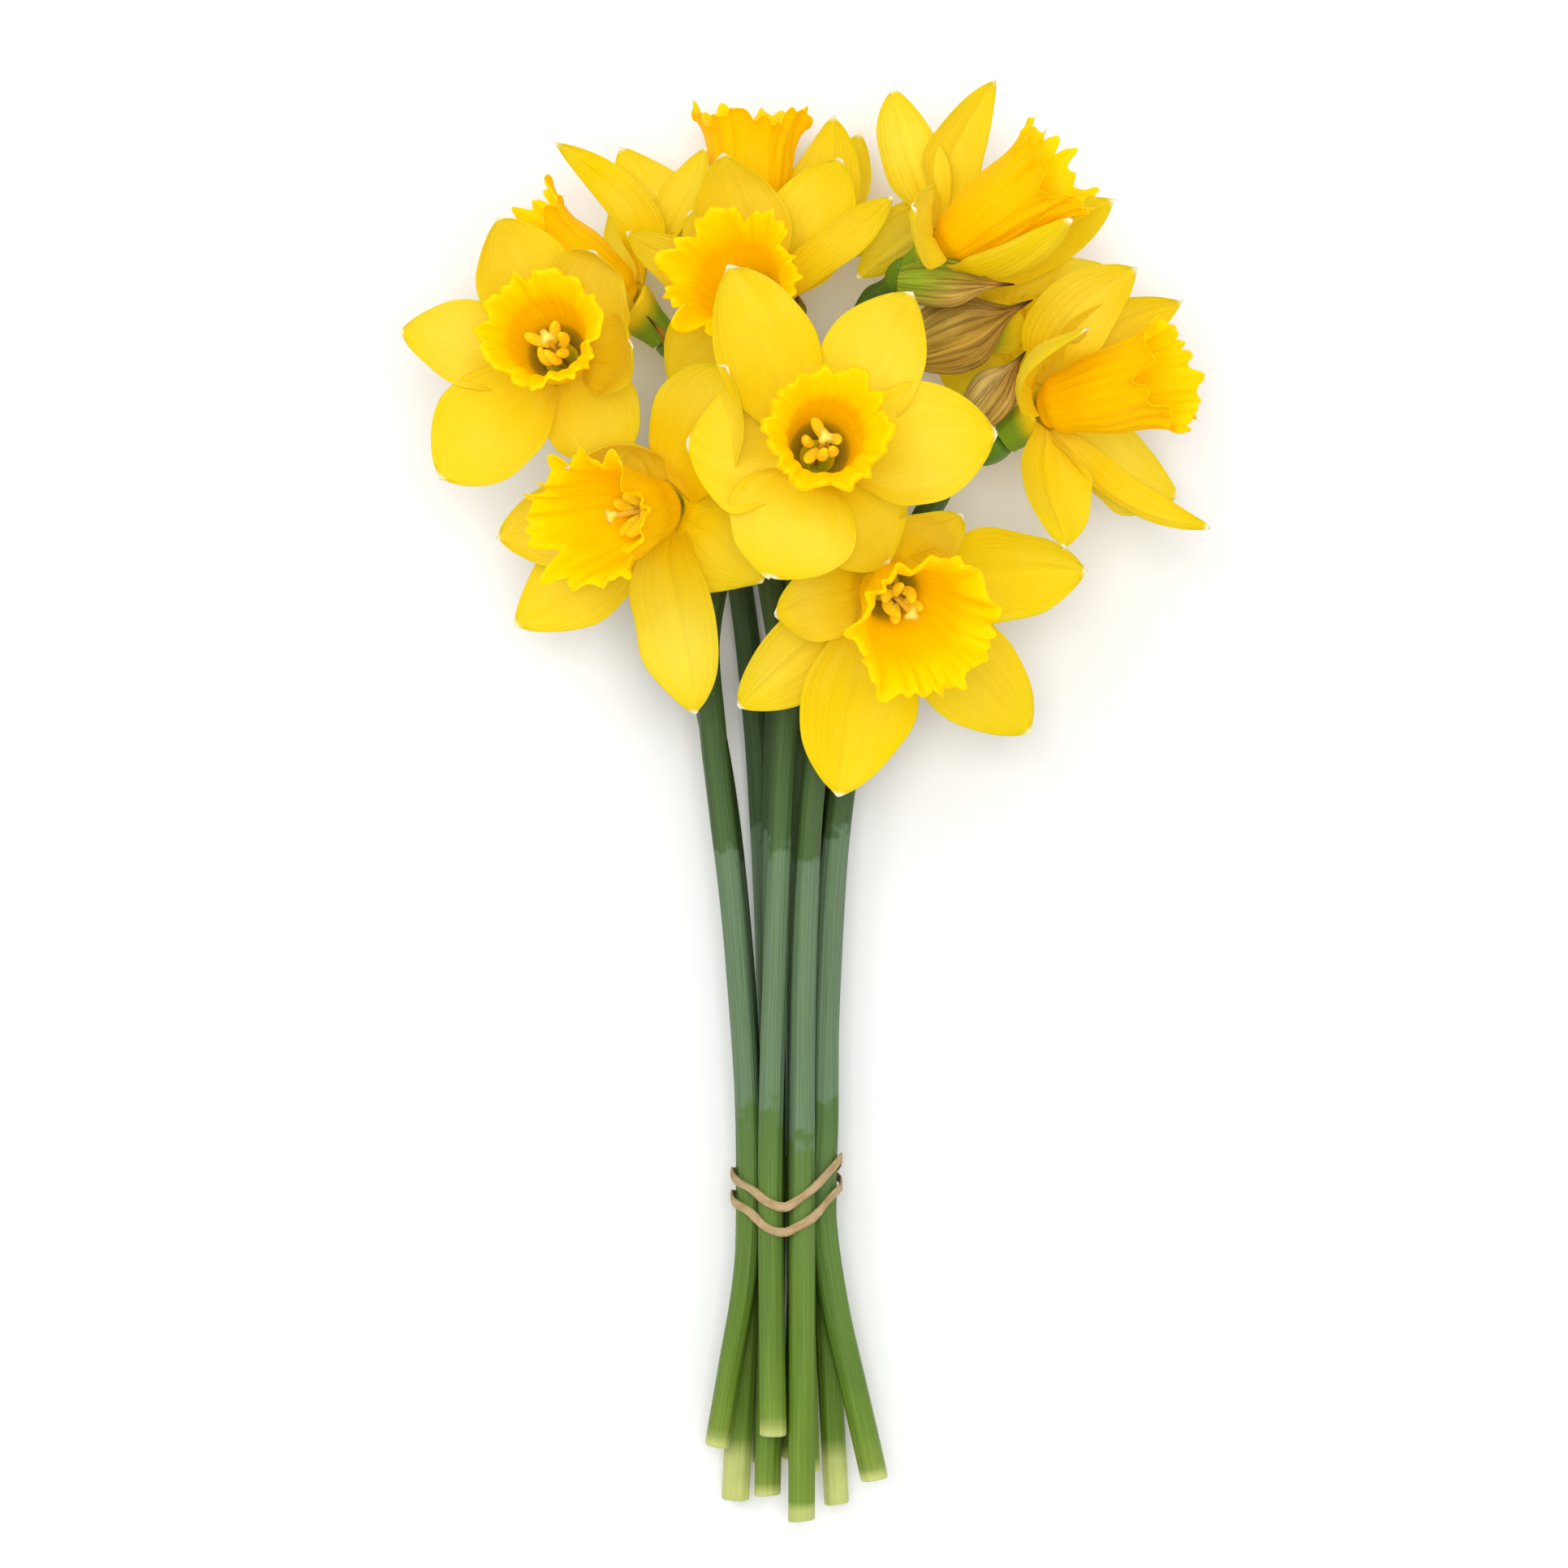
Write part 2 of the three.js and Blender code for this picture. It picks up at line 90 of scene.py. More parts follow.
# Each flower's six tepals: heading, reach in plan, height of the tip over the throat, width,
# roll of the edges, twist in degrees, waviness of the edge and how far the tip hooks forwards,
# with lengths in millimetres. A roll or a hook below 0 goes backwards. Some rows also give how
# far the blade turns to face up, from 0 to 1, and the degrees from the tip's heading to the root's.
TEPALS = {
    "centre": [
        (6, 48, 4, 34, 0.35, 4, 0.5, 0.8),
        (60, 48, 12, 29, 0.5, -8, 0.7, 0.5),
        (116, 55, 12, 29, 0.45, 6, 0.8, 0.5),
        (175, 35, 1, 36, 0.4, 0, 0.9, 0.5),
        (249, 34, -6, 36, 0.3, 4, 0.7, 0.5),
        (303, 35, -15, 31, 0.3, -5, 0.8, 0.3),
    ],
    "left": [
        (170, 42, 6, 26, 0.7, 8, 0.7, -1.5),
        (226, 46, 2, 31, 0.45, -5, 0.7, 1.0),
        (299, 33, -2, 27, 0.5, 4, 0.9, 0.5),
        (5, 23, 24, 26, 0.9, 10, 0.9, 1.5),
        (69, 30, 20, 27, 0.6, -6, 0.8, 3.5),
        (114, 41, 12, 28, 0.35, 5, 0.8, 0.8),
    ],
    "low_left": [
        (158, 27, 24, 22, 1.0, -10, 0.9, 2.0),
        (63, 41, 31, 33, 0.6, 6, 0.9, 0.5),
        (323, 34, 0, 32, -0.2, 8, 1.1, 0.6, 0, 14),
        (280, 56, -6, 28, 0.45, -5, 0.7, 0.5),
        (218, 51, -12, 27, 0.7, -10, 0.8, 1.0),
        (190, 46, -10, 28, 0.5, 6, 0.8, 0.8),
    ],
    "low_right": [
        (6, 55, -6, 30, 0.5, 10, 0.8, 0.8),
        (39, 24, 22, 22, 0.9, -8, 1.2, -2.0),
        (195, 31, 15, 24, 0.8, 12, 1.0, -1.0),
        (221, 51, 0, 26, 0.5, -5, 0.8, -1.0),
        (257, 58, -8, 34, 0.4, 3, 0.7, 0.5),
        (315, 56, -14, 28, 0.5, 5, 0.8, -1.0),
    ],
    "right": [
        (58, 43, 8, 24, 0.8, 6, 0.9, 0.8, 0.8),
        (40, 47, -2, 24, 0.6, -6, 0.6, 0.8),
        (328, 43, -24, 29, 0.5, 5, 0.9, 0.8),
        (321, 55, 2, 18, 0.7, 6, 0.6, 0.5),
        (276, 38, 18, 24, 1.0, -8, 0.9, -1.2, 0.5),
        (70, 21, 34, 34, 1.0, 6, 0.9, 0.5, 0.3),
    ],
    "top_right": [
        (109, 46, -12, 19, 0.8, 8, 0.9, 0.8, 0.8),
        (75, 48, -14, 19, 0.8, -8, 0.9, 0.8, 0.5),
        (150, 15, 30, 24, 0.6, 0, 0.9, 1.0, 0.5),
        (6, 33, 18, 28, 0.6, -6, 0.9, 0.8),
        (17, 47, -14, 24, 0.7, 6, 0.7, 0.8),
        (195, 26, -22, 24, 0.5, 6, 0.8, 0.8),
    ],
    "upper": [
        (126, 32, 0, 20, 0.5, 8, 0.6, 0.8),
        (103, 43, 15, 27, 0.5, -6, 0.9, 1.0),
        (61, 45, 8, 27, 0.4, 6, 0.8, 0.8),
        (38, 47, 10, 14, 0.9, 10, 0.5, 0.8),
        (151, 42, 6, 16, 0.6, -8, 0.6, 0.8),
        (221, 32, -4, 30, 0.3, 4, 0.9, 0.8),
    ],
    "top": [
        (147, 42, 12, 22, 0.5, 8, 0.7, 0.8, 0.9),
        (55, 39, 8, 24, 0.7, -8, 0.6, 0.8, 0.8),
        (43, 42, -8, 22, 0.6, 8, 0.7, 0.8, 0.7),
        (118, 22, -18, 24, 0.4, 4, 0.8, 0.8),
        (355, 45, -10, 30, 0.5, -4, 0.8, 0.8),
        (190, 30, 2, 20, 0.5, 6, 0.8, 0.8),
    ],
    "upper_left": [
        (114, 45, 15, 13, 0.4, -6, 1.2, 0.8, 1.0),
        (98, 28, -22, 24, 0.5, 6, 0.8, 0.8),
        (200, 28, -18, 24, 0.4, 4, 0.8, 0.8),
        (59, 47, 2, 15, 0.8, 8, 0.8, 0.8, 0.6),
        (262, 22, 6, 20, 0.6, 6, 0.8, 0.8),
        (165, 26, 22, 20, 0.7, -8, 0.8, 0.8),
    ],
    "back_right": [
        (20, 37, -14, 26, 0.4, 6, 0.8, 0.8),
        (350, 30, -14, 24, 0.4, -6, 0.8, 0.8),
        (75, 20, -8, 24, 0.6, 6, 0.9, 0.8),
        (150, 20, -16, 24, 0.5, 6, 0.9, 0.8),
        (230, 24, -14, 28, 0.4, -6, 0.9, 0.8),
        (295, 28, -16, 26, 0.4, 6, 0.9, 0.8),
    ],
}

# Each flower's trumpet: how strongly its rim frills, and how far the rim turns outwards.
FRILLS = {
    "centre": (0.9, 1.0),
    "left": (1.0, 0.8),
    "low_left": (1.5, 0.4),
    "low_right": (1.15, 0.7),
    "right": (1.2, 0.3),
    "top_right": (1.35, 0.3),
    "upper": (1.4, 0.8),
    "top": (1.1, 0.5),
    "upper_left": (1.1, 0.6),
    "back_right": (1.0, 0.6),
}

# How far up from the cut a stem is pale, where that is more than a rim, in millimetres.
PALE_ENDS = {"left": 15.0, "back_right": 15.0, "low_right": 4.0}

# Each spathe: how green its base is, how pale its paper is and the roll of its section. Where it
# stands well clear of its neck, also its width and the places of its root and tip from the throat.
SPATHES = {
    "centre": (0.3, 0.4, 1.5),
    "left": (0.3, 0.5, 1.4),
    "low_left": (0.3, 0.4, 1.5),
    "low_right": (0.3, 0.4, 1.5),
    "right": (0.1, 0.9, 1.0, 15, (-22, -5, 0), (-7.0, 14.5, 14)),
    "top_right": (1.0, 0.3, 1.1, 15, (-14, -10, 0), (17, -12, 12)),
    "upper": (0.3, 0.4, 1.4),
    "top": (0.3, 0.4, 1.4),
    "upper_left": (0.3, 0.4, 1.4),
    "back_right": (0.12, 0.4, 1.1, 24, (-27, -8, 16), (5.3, 5.0, 12)),
}


# ---------------------------------------------------------------- numbers and curves


def unit(v):
    """The vectors divided by their lengths."""
    return v / np.linalg.norm(v, axis=-1, keepdims=True)


def smooth(low, high, x):
    """0 below low, 1 above high and a smooth step between: three t squared less two t cubed."""
    t = np.clip((x - low) / (high - low), 0, 1)
    return t * t * (3 - 2 * t)


def angles_round(count):
    """Angles once round, as a row."""
    return np.linspace(0, TURN, count, endpoint=False)[None, :]


def heading(degrees):
    """The level direction at an angle from +X towards +Y."""
    return np.array([math.cos(math.radians(degrees)), math.sin(math.radians(degrees)), 0.0])


def drift(draw, across, along, reach=2.5, waves=6):
    """A gentle random height, mostly between -1 and 1: a sum of sine waves whose directions and
    phases are drawn at random, divided by the root of their number."""
    total = np.zeros(np.broadcast(across, along).shape)
    for _ in range(waves):
        a, b = draw.uniform(-reach, reach, 2)
        total = total + np.sin(a * across + b * along + draw.uniform(0, TURN))
    return total / math.sqrt(waves)


def through(knots, values, at):
    """A smooth curve through values at rising knots, read at other places: a cubic Hermite whose
    slopes are the central differences."""
    knots, values, at = (np.asarray(x, float) for x in (knots, values, at))
    slopes = np.gradient(values, knots, axis=0)
    i = np.clip(np.searchsorted(knots, at, side="right") - 1, 0, len(knots) - 2)
    gap = (knots[i + 1] - knots[i]).reshape((-1,) + (1,) * (values.ndim - 1))
    t = (at - knots[i]).reshape(gap.shape) / gap
    return (
        (2 * t**3 - 3 * t**2 + 1) * values[i]
        + (t**3 - 2 * t**2 + t) * gap * slopes[i]
        + (3 * t**2 - 2 * t**3) * values[i + 1]
        + (t**3 - t**2) * gap * slopes[i + 1]
    )


def carried(path, first):
    """Two directions square to a path at each of its points, carried along it without twist."""
    tangents = unit(np.gradient(path, axis=0))
    normals = []
    normal = np.asarray(first, float)
    for tangent in tangents:
        normal = unit(normal - normal.dot(tangent) * tangent)
        normals.append(normal)
    normals = np.array(normals)
    return normals, np.cross(tangents, normals)


def off(path, *moves):
    """A grid of points off a path: each direction, one for all its points or one for each, times
    a grid of distances."""
    grid = path[:, None, :]
    for direction, distance in moves:
        grid = grid + np.reshape(direction, (-1, 1, 3)) * distance[..., None]
    return grid


def crosses(points, corners):
    """Each triangle's cross product of its two sides from its first corner."""
    a, b, c = (points[corners[:, k]] for k in range(3))
    return np.cross(b - a, c - a)


# ---------------------------------------------------------------- skins


def triangles(number, u, v):
    """Two triangles for each cell of a grid of point numbers, with their places across and along.
    A cell that a pole closes keeps only its whole triangle."""
    cells = []
    for grid in (number, u, v):
        a, b, c, d = grid[:-1, :-1], grid[:-1, 1:], grid[1:, 1:], grid[1:, :-1]
        pair = np.concatenate([np.stack([a, b, c], -1), np.stack([a, c, d], -1)])
        cells.append(pair.reshape(-1, 3))
    corners, across, along = cells
    whole = (corners != np.roll(corners, 1, axis=1)).all(axis=1)
    return corners[whole], np.stack([across, along], -1)[whole]


def faced_out(points, corners, places, marks):
    """The skin as a dictionary, turned so that the volume that its faces enclose is above zero.
    Points that no face uses are dropped."""
    used, corners = np.unique(corners, return_inverse=True)
    corners = corners.reshape(-1, 3)
    points = points[used]
    marks = {name: value[used] for name, value in marks.items()}
    a, b, c = (points[corners[:, k]] - points.mean(0) for k in range(3))
    if np.einsum("ij,ij->", a, np.cross(b, c)) < 0:
        corners, places = corners[:, ::-1], places[:, ::-1]
    return {"points": points, "corners": corners, "places": places, "marks": marks}


def slopes_of(grid, round_):
    """The unit normals of a grid of points: the cross product of its steps across and along."""
    if round_:
        across = np.roll(grid, -1, axis=1) - np.roll(grid, 1, axis=1)
    else:
        across = np.gradient(grid, axis=1)
    along = np.gradient(grid, axis=0)
    return unit(np.cross(across, along))


def leaf(middle, wall, round_=False, **marks):
    """A thin closed skin about a middle surface, a grid of points. Its two sides stand half the
    wall off along the normal and share the points of the edge. With round_ the columns meet."""
    rows, columns = middle.shape[:2]
    offset = 0.5 * wall[..., None] * slopes_of(middle, round_)
    inner = np.zeros((rows, columns), bool)
    inner[1:-1] = True
    if not round_:
        inner[:, [0, -1]] = False
    over = np.arange(rows * columns).reshape(rows, columns)
    under = over.copy()
    under[inner] = rows * columns + np.arange(inner.sum())
    top = np.where(inner[..., None], middle + offset, middle)
    points = np.concatenate([top.reshape(-1, 3), (middle - offset)[inner]])
    flat = {}
    for name, value in marks.items():
        value = np.broadcast_to(value, (rows, columns))
        flat[name] = np.concatenate([value.reshape(-1), value[inner]])
    last = columns if round_ else columns - 1
    u, v = np.meshgrid(np.arange(last + 1) / last, np.linspace(0, 1, rows))
    sheets = []
    for number, flip in ((over, False), (under, True)):
        if round_:
            number = np.concatenate([number, number[:, :1]], axis=1)
        corners, places = triangles(number, u, v)
        if flip:
            corners, places = corners[:, ::-1], places[:, ::-1]
        sheets.append((corners, places))
    corners, places = (np.concatenate(pair) for pair in zip(*sheets))
    return faced_out(points, corners, places, flat)


def rod(grid, ring=False, **marks):
    """A closed skin of rings of points, one row each. Its first and last rows shrink to their
    middles, or meet each other with ring."""
    rows, columns = grid.shape[:2]
    points = grid.copy()
    number = np.arange(rows * columns).reshape(rows, columns)
    if ring:
        number = np.concatenate([number, number[:1]])
    else:
        for row in (0, -1):
            points[row] = points[row].mean(0)
            number[row] = number[row, 0]
    number = np.concatenate([number, number[:, :1]], axis=1)
    u, v = np.meshgrid(np.linspace(0, 1, columns + 1), np.linspace(0, 1, number.shape[0]))
    corners, places = triangles(number, u, v)
    flat = {
        name: np.broadcast_to(value, (rows, columns)).reshape(-1) for name, value in marks.items()
    }
    return faced_out(points.reshape(-1, 3), corners, places, flat)


def piece(name, node, skins, materials, kinds=None):
    """One object from several skins, smooth all over, which stands for a CAD node. The skins'
    places go to its UV map and their marks to point attributes. kinds says which of the materials
    each skin takes."""
    kinds = kinds or [0] * len(skins)
    counts = np.cumsum([0] + [len(s["points"]) for s in skins])
    points = np.concatenate([s["points"] for s in skins])
    corners = np.concatenate([s["corners"] + n for s, n in zip(skins, counts)])
    places = np.concatenate([s["places"] for s in skins])
    mesh = bpy.data.meshes.new(name)
    mesh.vertices.add(len(points))
    mesh.vertices.foreach_set("co", points.astype(np.float32).ravel())
    mesh.loops.add(corners.size)
    mesh.loops.foreach_set("vertex_index", corners.astype(np.int32).ravel())
    mesh.polygons.add(len(corners))
    mesh.polygons.foreach_set("loop_start", np.arange(0, corners.size, 3, dtype=np.int32))
    index = np.repeat(kinds, [len(s["corners"]) for s in skins]).astype(np.int32)
    mesh.polygons.foreach_set("material_index", index)
    mesh.uv_layers.new(name="UVMap").data.foreach_set("uv", places.astype(np.float32).ravel())
    for mark in sorted({key for s in skins for key in s["marks"]}):
        values = [s["marks"].get(mark, np.zeros(len(s["points"]))) for s in skins]
        attribute = mesh.attributes.new(mark, "FLOAT", "POINT")
        attribute.data.foreach_set("value", np.concatenate(values).astype(np.float32))
    mesh.update(calc_edges=True)
    mesh.shade_smooth()
    for material in materials:
        mesh.materials.append(material)
    made = bpy.data.objects.new(name, mesh)
    bpy.context.scene.collection.objects.link(made)
    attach(made, BODY)
    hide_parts(node)
    return made


# ---------------------------------------------------------------- measures from the frame


def welded(node):
    """A CAD node's points with doubles merged, and its triangles as rows of point numbers."""
    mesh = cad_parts[node].data
    places = np.empty(3 * len(mesh.vertices))
    mesh.vertices.foreach_get("co", places)
    corners = np.empty(len(mesh.loops), int)
    mesh.loops.foreach_get("vertex_index", corners)
    points, number = np.unique(np.round(places.reshape(-1, 3), 6), axis=0, return_inverse=True)
    return points, number.reshape(-1)[corners].reshape(-1, 3)


def main_axes(points):
    """The middle of some points and their three axes, from the longest spread to the shortest."""
    middle = points.mean(0)
    _, axes = np.linalg.eigh(np.cov((points - middle).T))
    return middle, axes[:, ::-1].T


def measured_trumpet(name):
    """The throat, the direction of the face, the length and the rim radius of a CAD trumpet."""
    points, _ = welded(f"trumpet_{name}")
    middle, axes = main_axes(points)
    face = axes[0]
    height = (points - middle).dot(face)
    reach = np.linalg.norm(points - middle - height[:, None] * face, axis=1)
    near = 0.1 * MM
    high, low = height > height.max() - near, height < height.min() + near
    if reach[high].mean() < reach[low].mean():
        face, high, low = -face, low, high
    rim = points[high]
    length = np.ptp(height) + THROAT_TO_FOOT * MM
    radius = np.linalg.norm(rim - rim.mean(0), axis=1).mean()
    return points[low].mean(0) - THROAT_TO_FOOT * MM * face, face, length, radius


def measured_stem(name):
    """The middles and radii of a CAD stem's rings, from the cut end to the ovary. The middle of
    each end cap is a point whose triangles lie flat, and each further ring is one edge away."""
    points, corners = welded(f"stem_{name}")
    normals = unit(crosses(points, corners))
    total = np.zeros((len(points), 3))
    count = np.zeros(len(points))
    np.add.at(total, corners.ravel(), np.repeat(normals, 3, axis=0))
    np.add.at(count, corners.ravel(), 1)
    flat = np.argsort(-np.linalg.norm(total, axis=1) / count)[:2]
    foot = flat[np.argmin(points[flat, 1])]
    layer = np.full(len(points), -1)
    layer[foot] = 0
    for step in range(1, len(points)):
        near = np.unique(corners[(layer[corners] >= 0).any(axis=1)])
        fresh = near[layer[near] < 0]
        if not len(fresh):
            break
        layer[fresh] = step
    found = [points[layer == k] for k in range(1, layer.max())]
    middles = np.array([ring.mean(0) for ring in found])
    radii = np.array([np.linalg.norm(r - m, axis=1).mean() for r, m in zip(found, middles)])
    return middles, radii


class Flower:
    """A flower's measures: throat, face, neck, trumpet length and rim radius, and its stem."""

    def __init__(self, name):
        self.name = name
        self.throat, self.face, self.length, self.rim = measured_trumpet(name)
        self.stem, self.radii = measured_stem(name)
        self.neck = unit(self.throat - self.stem[-1])

    def around(self, r, angle, h):
        """Points at radius r and an angle round the middle line at height h over the throat. Above
        the throat the line runs along the face, below it along the neck."""
        r, angle, h = np.broadcast_arrays(r, angle, h)
        line = np.where(h[..., None] < 0, self.neck, self.face)
        turned = np.clip(-h / (TUBE_LENGTH * MM), 0, 1)[..., None]
        normal = unit(self.face * (1 - turned) + self.neck * turned)
        across = unit(np.cross([0.0, 0.0, 1.0], normal))
        up = np.cross(normal, across)
        out = across * np.cos(angle)[..., None] + up * np.sin(angle)[..., None]
        return self.throat + line * h[..., None] + out * r[..., None]


# ---------------------------------------------------------------- materials


def add(tree, kind, inputs=None, **settings):
    """A new node with its settings, and with values or links for its inputs."""
    node = tree.nodes.new(kind)
    for name, value in settings.items():
        setattr(node, name, value)
    for name, value in (inputs or {}).items():
        if isinstance(value, bpy.types.NodeSocket):
            tree.links.new(value, node.inputs[name])
        else:
            node.inputs[name].default_value = value
    return node


def value_of(tree, operation, *values):
    """A Math node's result."""
    return add(tree, "ShaderNodeMath", dict(enumerate(values)), operation=operation).outputs[0]


def scaled(tree, value, low, high, start=0.0, stop=1.0):
    """A value carried from the range start to stop to the range low to high, and held there."""
    inputs = {0: value, 1: start, 2: stop, 3: low, 4: high}
    return add(tree, "ShaderNodeMapRange", inputs).outputs[0]


def new_group(name, inputs, output):
    """An empty node group with its sockets. Returns its tree, its inputs and its output socket."""
    tree = bpy.data.node_groups.new(name, "ShaderNodeTree")
    for label, value in inputs.items():
        socket = tree.interface.new_socket(label, in_out="INPUT", socket_type="NodeSocketFloat")
        socket.default_value = value
    tree.interface.new_socket(output, in_out="OUTPUT", socket_type="NodeSocketFloat")
    given, out = tree.nodes.new("NodeGroupInput"), tree.nodes.new("NodeGroupOutput")
    return tree, given.outputs, out.inputs[output]


def veins_group():
    """Lengthwise veins or fibres, 0 to 1: noise that is stretched along the piece by Stretch and
    repeats Count times across it, with its contrast raised."""
    inputs = {"Across": 0, "Along": 0, "Count": 20, "Stretch": 1.5, "Seed": 0}
    tree, given, out = new_group("lengthwise_veins", inputs, "Veins")
    across = value_of(tree, "MULTIPLY", given["Across"], given["Count"])
    along = value_of(tree, "MULTIPLY", given["Along"], given["Stretch"])
    spot = add(tree, "ShaderNodeCombineXYZ", {0: across, 1: along, 2: given["Seed"]}).outputs[0]
    settings = {"Vector": spot, "Scale": 1.0, "Detail": 3.0, "Roughness": 0.6}
    noise = add(tree, "ShaderNodeTexNoise", settings).outputs[0]
    tree.links.new(scaled(tree, noise, 0.0, 1.0, 0.3, 0.7), out)
    return tree


def patches_group():
    """Soft patches over the whole piece, 0 to 1: noise on the object's own place, whose size is
    Scale per metre."""
    tree, given, out = new_group("soft_patches", {"Scale": 60, "Seed": 0}, "Patches")
    place = add(tree, "ShaderNodeTexCoord").outputs["Object"]
    moved = add(tree, "ShaderNodeVectorMath", {0: place, 1: given["Seed"]}, operation="ADD")
    settings = {"Vector": moved.outputs[0], "Scale": given["Scale"]}
    noise = add(tree, "ShaderNodeTexNoise", settings).outputs[0]
    tree.links.new(scaled(tree, noise, 0.0, 1.0, 0.35, 0.65), out)
    return tree


class Finish:
    """A material in the making: its nodes, the two shared patterns and its colour so far."""

    def __init__(self, name, patterns):
        self.material = bpy.data.materials.new(name)
        self.material.use_nodes = True
        self.tree, self.patterns = self.material.node_tree, patterns
        uv = add(self.tree, "ShaderNodeUVMap", uv_map="UVMap").outputs[0]
        self.across, self.along, _ = add(self.tree, "ShaderNodeSeparateXYZ", {0: uv}).outputs

    def veins(self, count, stretch, seed=0.0):
        """The shared veins, on the piece's places across and along."""
        places = {"Across": self.across, "Along": self.along}
        inputs = {**places, "Count": count, "Stretch": stretch, "Seed": seed}
        return add(self.tree, "ShaderNodeGroup", inputs, node_tree=self.patterns[0]).outputs[0]

    def patches(self, scale, seed=0.0):
        """The shared patches, at a scale."""
        inputs = {"Scale": scale, "Seed": seed}
        return add(self.tree, "ShaderNodeGroup", inputs, node_tree=self.patterns[1]).outputs[0]

    def mark(self, name):
        """The value of a point attribute."""
        kind = {"attribute_name": name, "attribute_type": "GEOMETRY"}
        return add(self.tree, "ShaderNodeAttribute", **kind).outputs["Fac"]

    def times(self, first, second):
        """Two values multiplied."""
        return value_of(self.tree, "MULTIPLY", first, second)

    def plus(self, first, second):
        """Two values added."""
        return value_of(self.tree, "ADD", first, second)

    def scaled(self, *values):
        """A value carried to another range."""
        return scaled(self.tree, *values)

    def row(self, value, stops):
        """A colour or grey read along a row of (place, colour) stops."""
        node = add(self.tree, "ShaderNodeValToRGB", {0: value})
        marks = node.color_ramp.elements
        while len(marks) < len(stops):
            marks.new(0.5)
        for mark, (place, colour) in zip(marks, stops):
            mark.position = place
            mark.color = (*colour, 1) if isinstance(colour, tuple) else (colour,) * 3 + (1,)
        return node.outputs[0]

    def mixed(self, share, first, second):
        """Two colours mixed by a share."""
        first, second = ((*c, 1) if isinstance(c, tuple) else c for c in (first, second))
        inputs = {0: share, 6: first, 7: second}
        return add(self.tree, "ShaderNodeMix", inputs, data_type="RGBA").outputs[2]

    def over(self, share, colour):
        """Lays a colour over the colour so far, by a share."""
        self.colour = self.mixed(share, self.colour, colour)

    def done(self, roughness, height, depth, constants, painted_glow=0.0):
        """Joins colour, roughness and bump to the shader and sets its constants. The last argument
        is
        painted light: a glow that emits that share of the material's own colour, standing in for
        light passing through thin flesh."""
        shader = self.tree.nodes["Principled BSDF"]
        bump = {"Strength": 1.0, "Distance": depth * MM, "Height": height}
        joined = {"Base Color": self.colour, "Roughness": roughness}
        joined["Normal"] = add(self.tree, "ShaderNodeBump", bump).outputs[0]
        # painted glow: the colour is also emitted, as painted light for light passing through the
        # flesh
        if painted_glow:
            joined["Emission Color"] = self.colour
            shader.inputs["Emission Strength"].default_value = painted_glow
        for name, socket in joined.items():
            self.tree.links.new(socket, shader.inputs[name])
        for name, value in constants.items():
            shader.inputs[name].default_value = value
        return self.material


def translucent(weight, radius, scale):
    """The shader's constants for flesh that light enters."""
    return {
        "Subsurface Weight": weight,
        "Subsurface Radius": radius,
        "Subsurface Scale": scale * MM,
    }


def tepal_material(patterns):
    """Yellow petal flesh: deeper at its root, paler towards the tip and in soft patches, with fine
    veins, a green-yellow tube and a whitish nib. Its emission is a painted glow for light passing
    through the petals."""
    f = Finish("tepal_flesh", patterns)
    shade = f.mark("shade")
    fine, broad, soft = f.veins(34.0, 1.6, shade), f.veins(7.0, 0.9, shade), f.patches(45.0)
    f.colour = f.row(f.along, [
        (0.0, (0.66, 0.405, 0.0)),
        (0.3, (0.67, 0.46, 0.0)),
        (0.7, (0.68, 0.495, 0.0)),
        (1.0, (0.70, 0.54, 0.002)),
    ])
    share = f.times(f.scaled(broad, 0.1, 1.0), f.scaled(soft, 0.0, 0.45))
    share = f.plus(share, f.times(f.mark("pale"), 0.75))
    f.over(value_of(f.tree, "MINIMUM", share, 0.9), (0.75, 0.605, 0.055))
    f.over(f.scaled(fine, 0.0, 0.1), (0.61, 0.36, 0.0))
    f.over(f.mark("neck"), (0.17, 0.27, 0.015))
    f.over(f.mark("nib"), (0.93, 0.88, 0.62))
    constants = {**translucent(0.3, (1.0, 0.85, 0.1), 1.2), "Specular IOR Level": 0.04}
    height = f.plus(fine, f.times(soft, 0.6))
    # painted glow: a fifth of the flesh's colour is emitted, for light passing through the petals
    return f.done(f.scaled(soft, 0.52, 0.66), height, 0.14, constants, painted_glow=0.2)


def trumpet_material(patterns):
    """Orange-yellow trumpet flesh, ribbed lengthwise. Its inside is made lighter as painted light
    against the shade in its hollow, its throat is olive darkened by painted shade in its depth,
    and a painted glow stands in for light passing through the wall."""
    f = Finish("trumpet_flesh", patterns)
    fine, broad, soft = f.veins(90.0, 1.5), f.veins(22.0, 1.0, 3.0), f.patches(70.0, 0.5)
    f.colour = f.row(f.along, [
        (0.0, (0.80, 0.43, 0.0)),
        (0.35, (0.80, 0.445, 0.0)),
        (0.75, (0.81, 0.445, 0.0)),
        (1.0, (0.82, 0.445, 0.0)),
    ])
    f.over(f.times(broad, f.scaled(soft, 0.15, 0.6)), (0.84, 0.50, 0.0))
    # painted light: the inner side is made lighter to offset the shade inside the trumpet
    f.over(f.times(f.mark("inner"), 0.8), (0.92, 0.60, 0.0))
    f.over(f.scaled(fine, 0.0, 0.2), (0.72, 0.34, 0.0))
    # partly painted shade: the throat's own olive, darkened towards the foot inside where shade
    # falls
    f.over(f.mark("deep"), (0.20, 0.15, 0.01))
    constants = {**translucent(0.35, (1.0, 0.8, 0.08), 1.2), "Specular IOR Level": 0.05}
    # painted glow: the trumpet's colour is emitted, for light through its wall and against the
    # shade inside
    return f.done(f.scaled(soft, 0.42, 0.58), f.plus(fine, broad), 0.16, constants, painted_glow=0.19)


